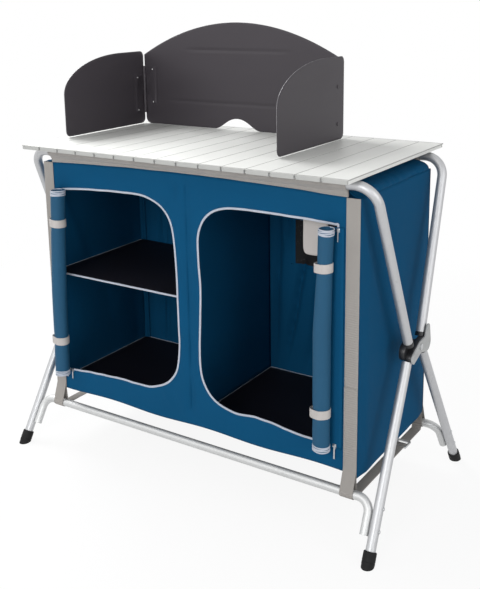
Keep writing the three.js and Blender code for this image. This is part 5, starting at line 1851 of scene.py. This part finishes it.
class KITCHEN_OT_windscreen(Operator):
    """Presses the windscreen's back panel and wings and hinges them together"""

    bl_idname = "kitchen.windscreen"
    bl_label = "Windscreen"

    def execute(self, context):
        s = context.scene.kitchen_windscreen
        steel_sheet("windscreen_back_sheet", back_outline(s), 0.0036,
                    lambda x, z: self.back_place(s, x, z), s.sheet, "windscreen_back", "windscreen")
        hinge_x = s.width / 2 + HINGE_GAP - HINGE_REACH
        for side, mirror in SIDES:
            axis = Vector((s.middle + mirror * hinge_x, s.face_y - HINGE_REACH, TOP_Z))
            inner = axis + X * mirror * (HINGE_REACH + s.sheet / 2)
            steel_sheet(f"windscreen_wing_sheet_{side}", wing_outline(s), 0.0045,
                        lambda x, z: inner + Vector((0, -x, z)), s.sheet,
                        f"windscreen_wing_{side}", f"{side}_wing")
            for leaf, body in (("windscreen", "windscreen"), ("wing", f"{side}_wing")):
                refined(f"{leaf}_leaf_{side}", "screen", body, LEAF_EDGE, 1)
            self.rivets(s, side, mirror, axis)
        return {"FINISHED"}

    def back_place(self, s, x, z):
        """The back panel, with its two pressed ribs."""
        pressed = 0.0
        for half, height in RIBS:
            far = math.hypot(max(0.0, abs(x) - half), z - height)
            rib = RIB_DEPTH * bell(far, RIB_WIDTH) * ease(half + 0.004 - abs(x), 0, 0.06)
            pressed = max(pressed, rib)
        return Vector((s.middle + x, s.face_y + s.sheet / 2 + pressed, TOP_Z + z))

    def rivets(self, s, side, mirror, axis):
        """Bright rivet heads on the faces that one sees, and dark tails behind."""
        for name, body, height, along, run in (
            ("back", "windscreen", RIVET_Z + RIVET_Z_BACK, Y, X * -mirror),
            ("wing", f"{side}_wing", RIVET_Z, X * mirror, -Y),
        ):
            for kind, look, place, way_out, radius in (
                ("heads", "rivet", HINGE_REACH - s.sheet - 0.0006, -along, 0.0034),
                ("tails", "screen", HINGE_REACH + s.sheet + 0.0001, along, 0.0040),
            ):
                bm = bmesh.new()
                for way in (-1, 1):
                    spot = axis + run * RIVET_RUN + Z * (height + way * RIVET_SPREAD)
                    button(bm, spot + along * place, way_out, radius, 0.0011, 20)
                finished(f"rivet_{kind}_{name}_{side}", bm, look, body)


# Stage


class KITCHEN_OT_stage(Operator):
    """Sets the floor, the soft lights, the surroundings and the camera"""

    bl_idname = "kitchen.stage"
    bl_label = "Stage and Camera"

    def execute(self, context):
        scene = context.scene
        scene.view_settings.view_transform = "Standard"
        self.floor()
        self.surroundings(scene)
        for values in LIGHTS:
            self.light(*values)
        self.camera(scene)
        return {"FINISHED"}

    def light(self, name, place, width, power):
        light = bpy.data.lights.new(name, "AREA")
        light.shape = "SQUARE"
        light.size = width
        light.energy = power
        made = linked(name, light)
        made.location = place
        made.rotation_euler = (LIT_SPOT - Vector(place)).to_track_quat("-Z", "Y").to_euler()

    def floor(self):
        bm = bmesh.new()
        bmesh.ops.create_grid(bm, x_segments=1, y_segments=1, size=30)
        floor = as_object("floor", bm)
        f = Finish(bpy.data.materials.new("floor_white"))
        camera, glossy = f.readings("ShaderNodeLightPath", ("Is Camera Ray", "Is Glossy Ray"))
        matt = f.node("ShaderNodeBsdfDiffuse", None, {"Color": (0.88, 0.88, 0.88)})
        white = f.node("ShaderNodeEmission", None, {"Color": (1, 1, 1), "Strength": 1.0})
        x, y, _ = f.parts(f.place())
        far = f.ramp(x * x + y * y, 0.8, 4.0)
        share = (camera + glossy) * (0.90 + far * 0.10)
        mixed = f.node("ShaderNodeMixShader", None, {0: share, 1: matt, 2: white})
        f.node("ShaderNodeOutputMaterial", None, {"Surface": mixed})
        floor.data.materials.append(f.owner)

    def surroundings(self, scene):
        scene.world = bpy.data.worlds.new("studio")
        f = Finish(scene.world)
        camera, glossy, through_glass = f.readings(
            "ShaderNodeLightPath", ("Is Camera Ray", "Is Glossy Ray", "Is Transmission Ray")
        )
        soft, white = (
            f.node("ShaderNodeBackground", None, {"Color": (1, 1, 1), "Strength": strength})
            for strength in (0.42, 1.0)
        )
        seen = camera + glossy + through_glass
        mixed = f.node("ShaderNodeMixShader", None, {0: seen, 1: soft, 2: white})
        f.node("ShaderNodeOutputWorld", None, {"Surface": mixed})

    def camera(self, scene):
        """Stands the camera where the photograph was taken."""
        turn = Matrix.Rotation(CAMERA_YAW, 3, "Z")
        tilt = Matrix.Rotation(math.pi / 2 + CAMERA_PITCH, 3, "X")
        matrix = (turn @ tilt @ Matrix.Rotation(CAMERA_ROLL, 3, "Z")).to_4x4()
        matrix.translation = CAMERA_PLACE
        data = bpy.data.cameras.new("camera")
        data.sensor_fit = "AUTO"
        data.sensor_width = SENSOR
        data.lens = FOCAL_PIXELS / PHOTO_HEIGHT * SENSOR
        data.shift_x = 0.0
        data.shift_y = (HORIZON_ROW - PHOTO_HEIGHT / 2) / PHOTO_HEIGHT
        data.clip_start, data.clip_end = 0.05, 100
        made = linked("camera", data)
        made.matrix_world = matrix
        scene.camera = made


class KITCHEN_PT_sidebar(Panel):
    """Lists the steps that dress the kitchen, with its sizes and colours"""

    bl_idname = "KITCHEN_PT_sidebar"
    bl_label = "Camp Kitchen"
    bl_space_type = "VIEW_3D"
    bl_region_type = "UI"
    bl_category = "Camp Kitchen"

    def draw(self, context):
        for step in STEPS:
            self.layout.operator(step.bl_idname)
        for group in ("kitchen_tubes", "kitchen_windscreen", "kitchen_colours"):
            values = getattr(context.scene, group)
            box = self.layout.box()
            for name in values.__annotations__:
                box.prop(values, name)


GROUPS = (
    ("kitchen_tubes", KitchenTubes),
    ("kitchen_windscreen", KitchenWindscreen),
    ("kitchen_colours", KitchenColours),
)
STEPS = (
    KITCHEN_OT_stage,
    KITCHEN_OT_top_frames,
    KITCHEN_OT_legs,
    KITCHEN_OT_crossbars,
    KITCHEN_OT_joints,
    KITCHEN_OT_worktop,
    KITCHEN_OT_sleeves,
    KITCHEN_OT_front_cloth,
    KITCHEN_OT_walls,
    KITCHEN_OT_boards,
    KITCHEN_OT_door_rolls,
    KITCHEN_OT_straps,
    KITCHEN_OT_windscreen,
)


def register():
    for name, group in GROUPS:
        bpy.utils.register_class(group)
        setattr(bpy.types.Scene, name, PointerProperty(type=group))
    for step in STEPS:
        bpy.utils.register_class(step)
    bpy.utils.register_class(KITCHEN_PT_sidebar)


def unregister():
    bpy.utils.unregister_class(KITCHEN_PT_sidebar)
    for step in reversed(STEPS):
        bpy.utils.unregister_class(step)
    for name, group in reversed(GROUPS):
        delattr(bpy.types.Scene, name)
        bpy.utils.unregister_class(group)


def main():
    register()
    for step in STEPS:
        family, name = step.bl_idname.split(".")
        getattr(getattr(bpy.ops, family), name)()


if __name__ == "__main__":
    main()
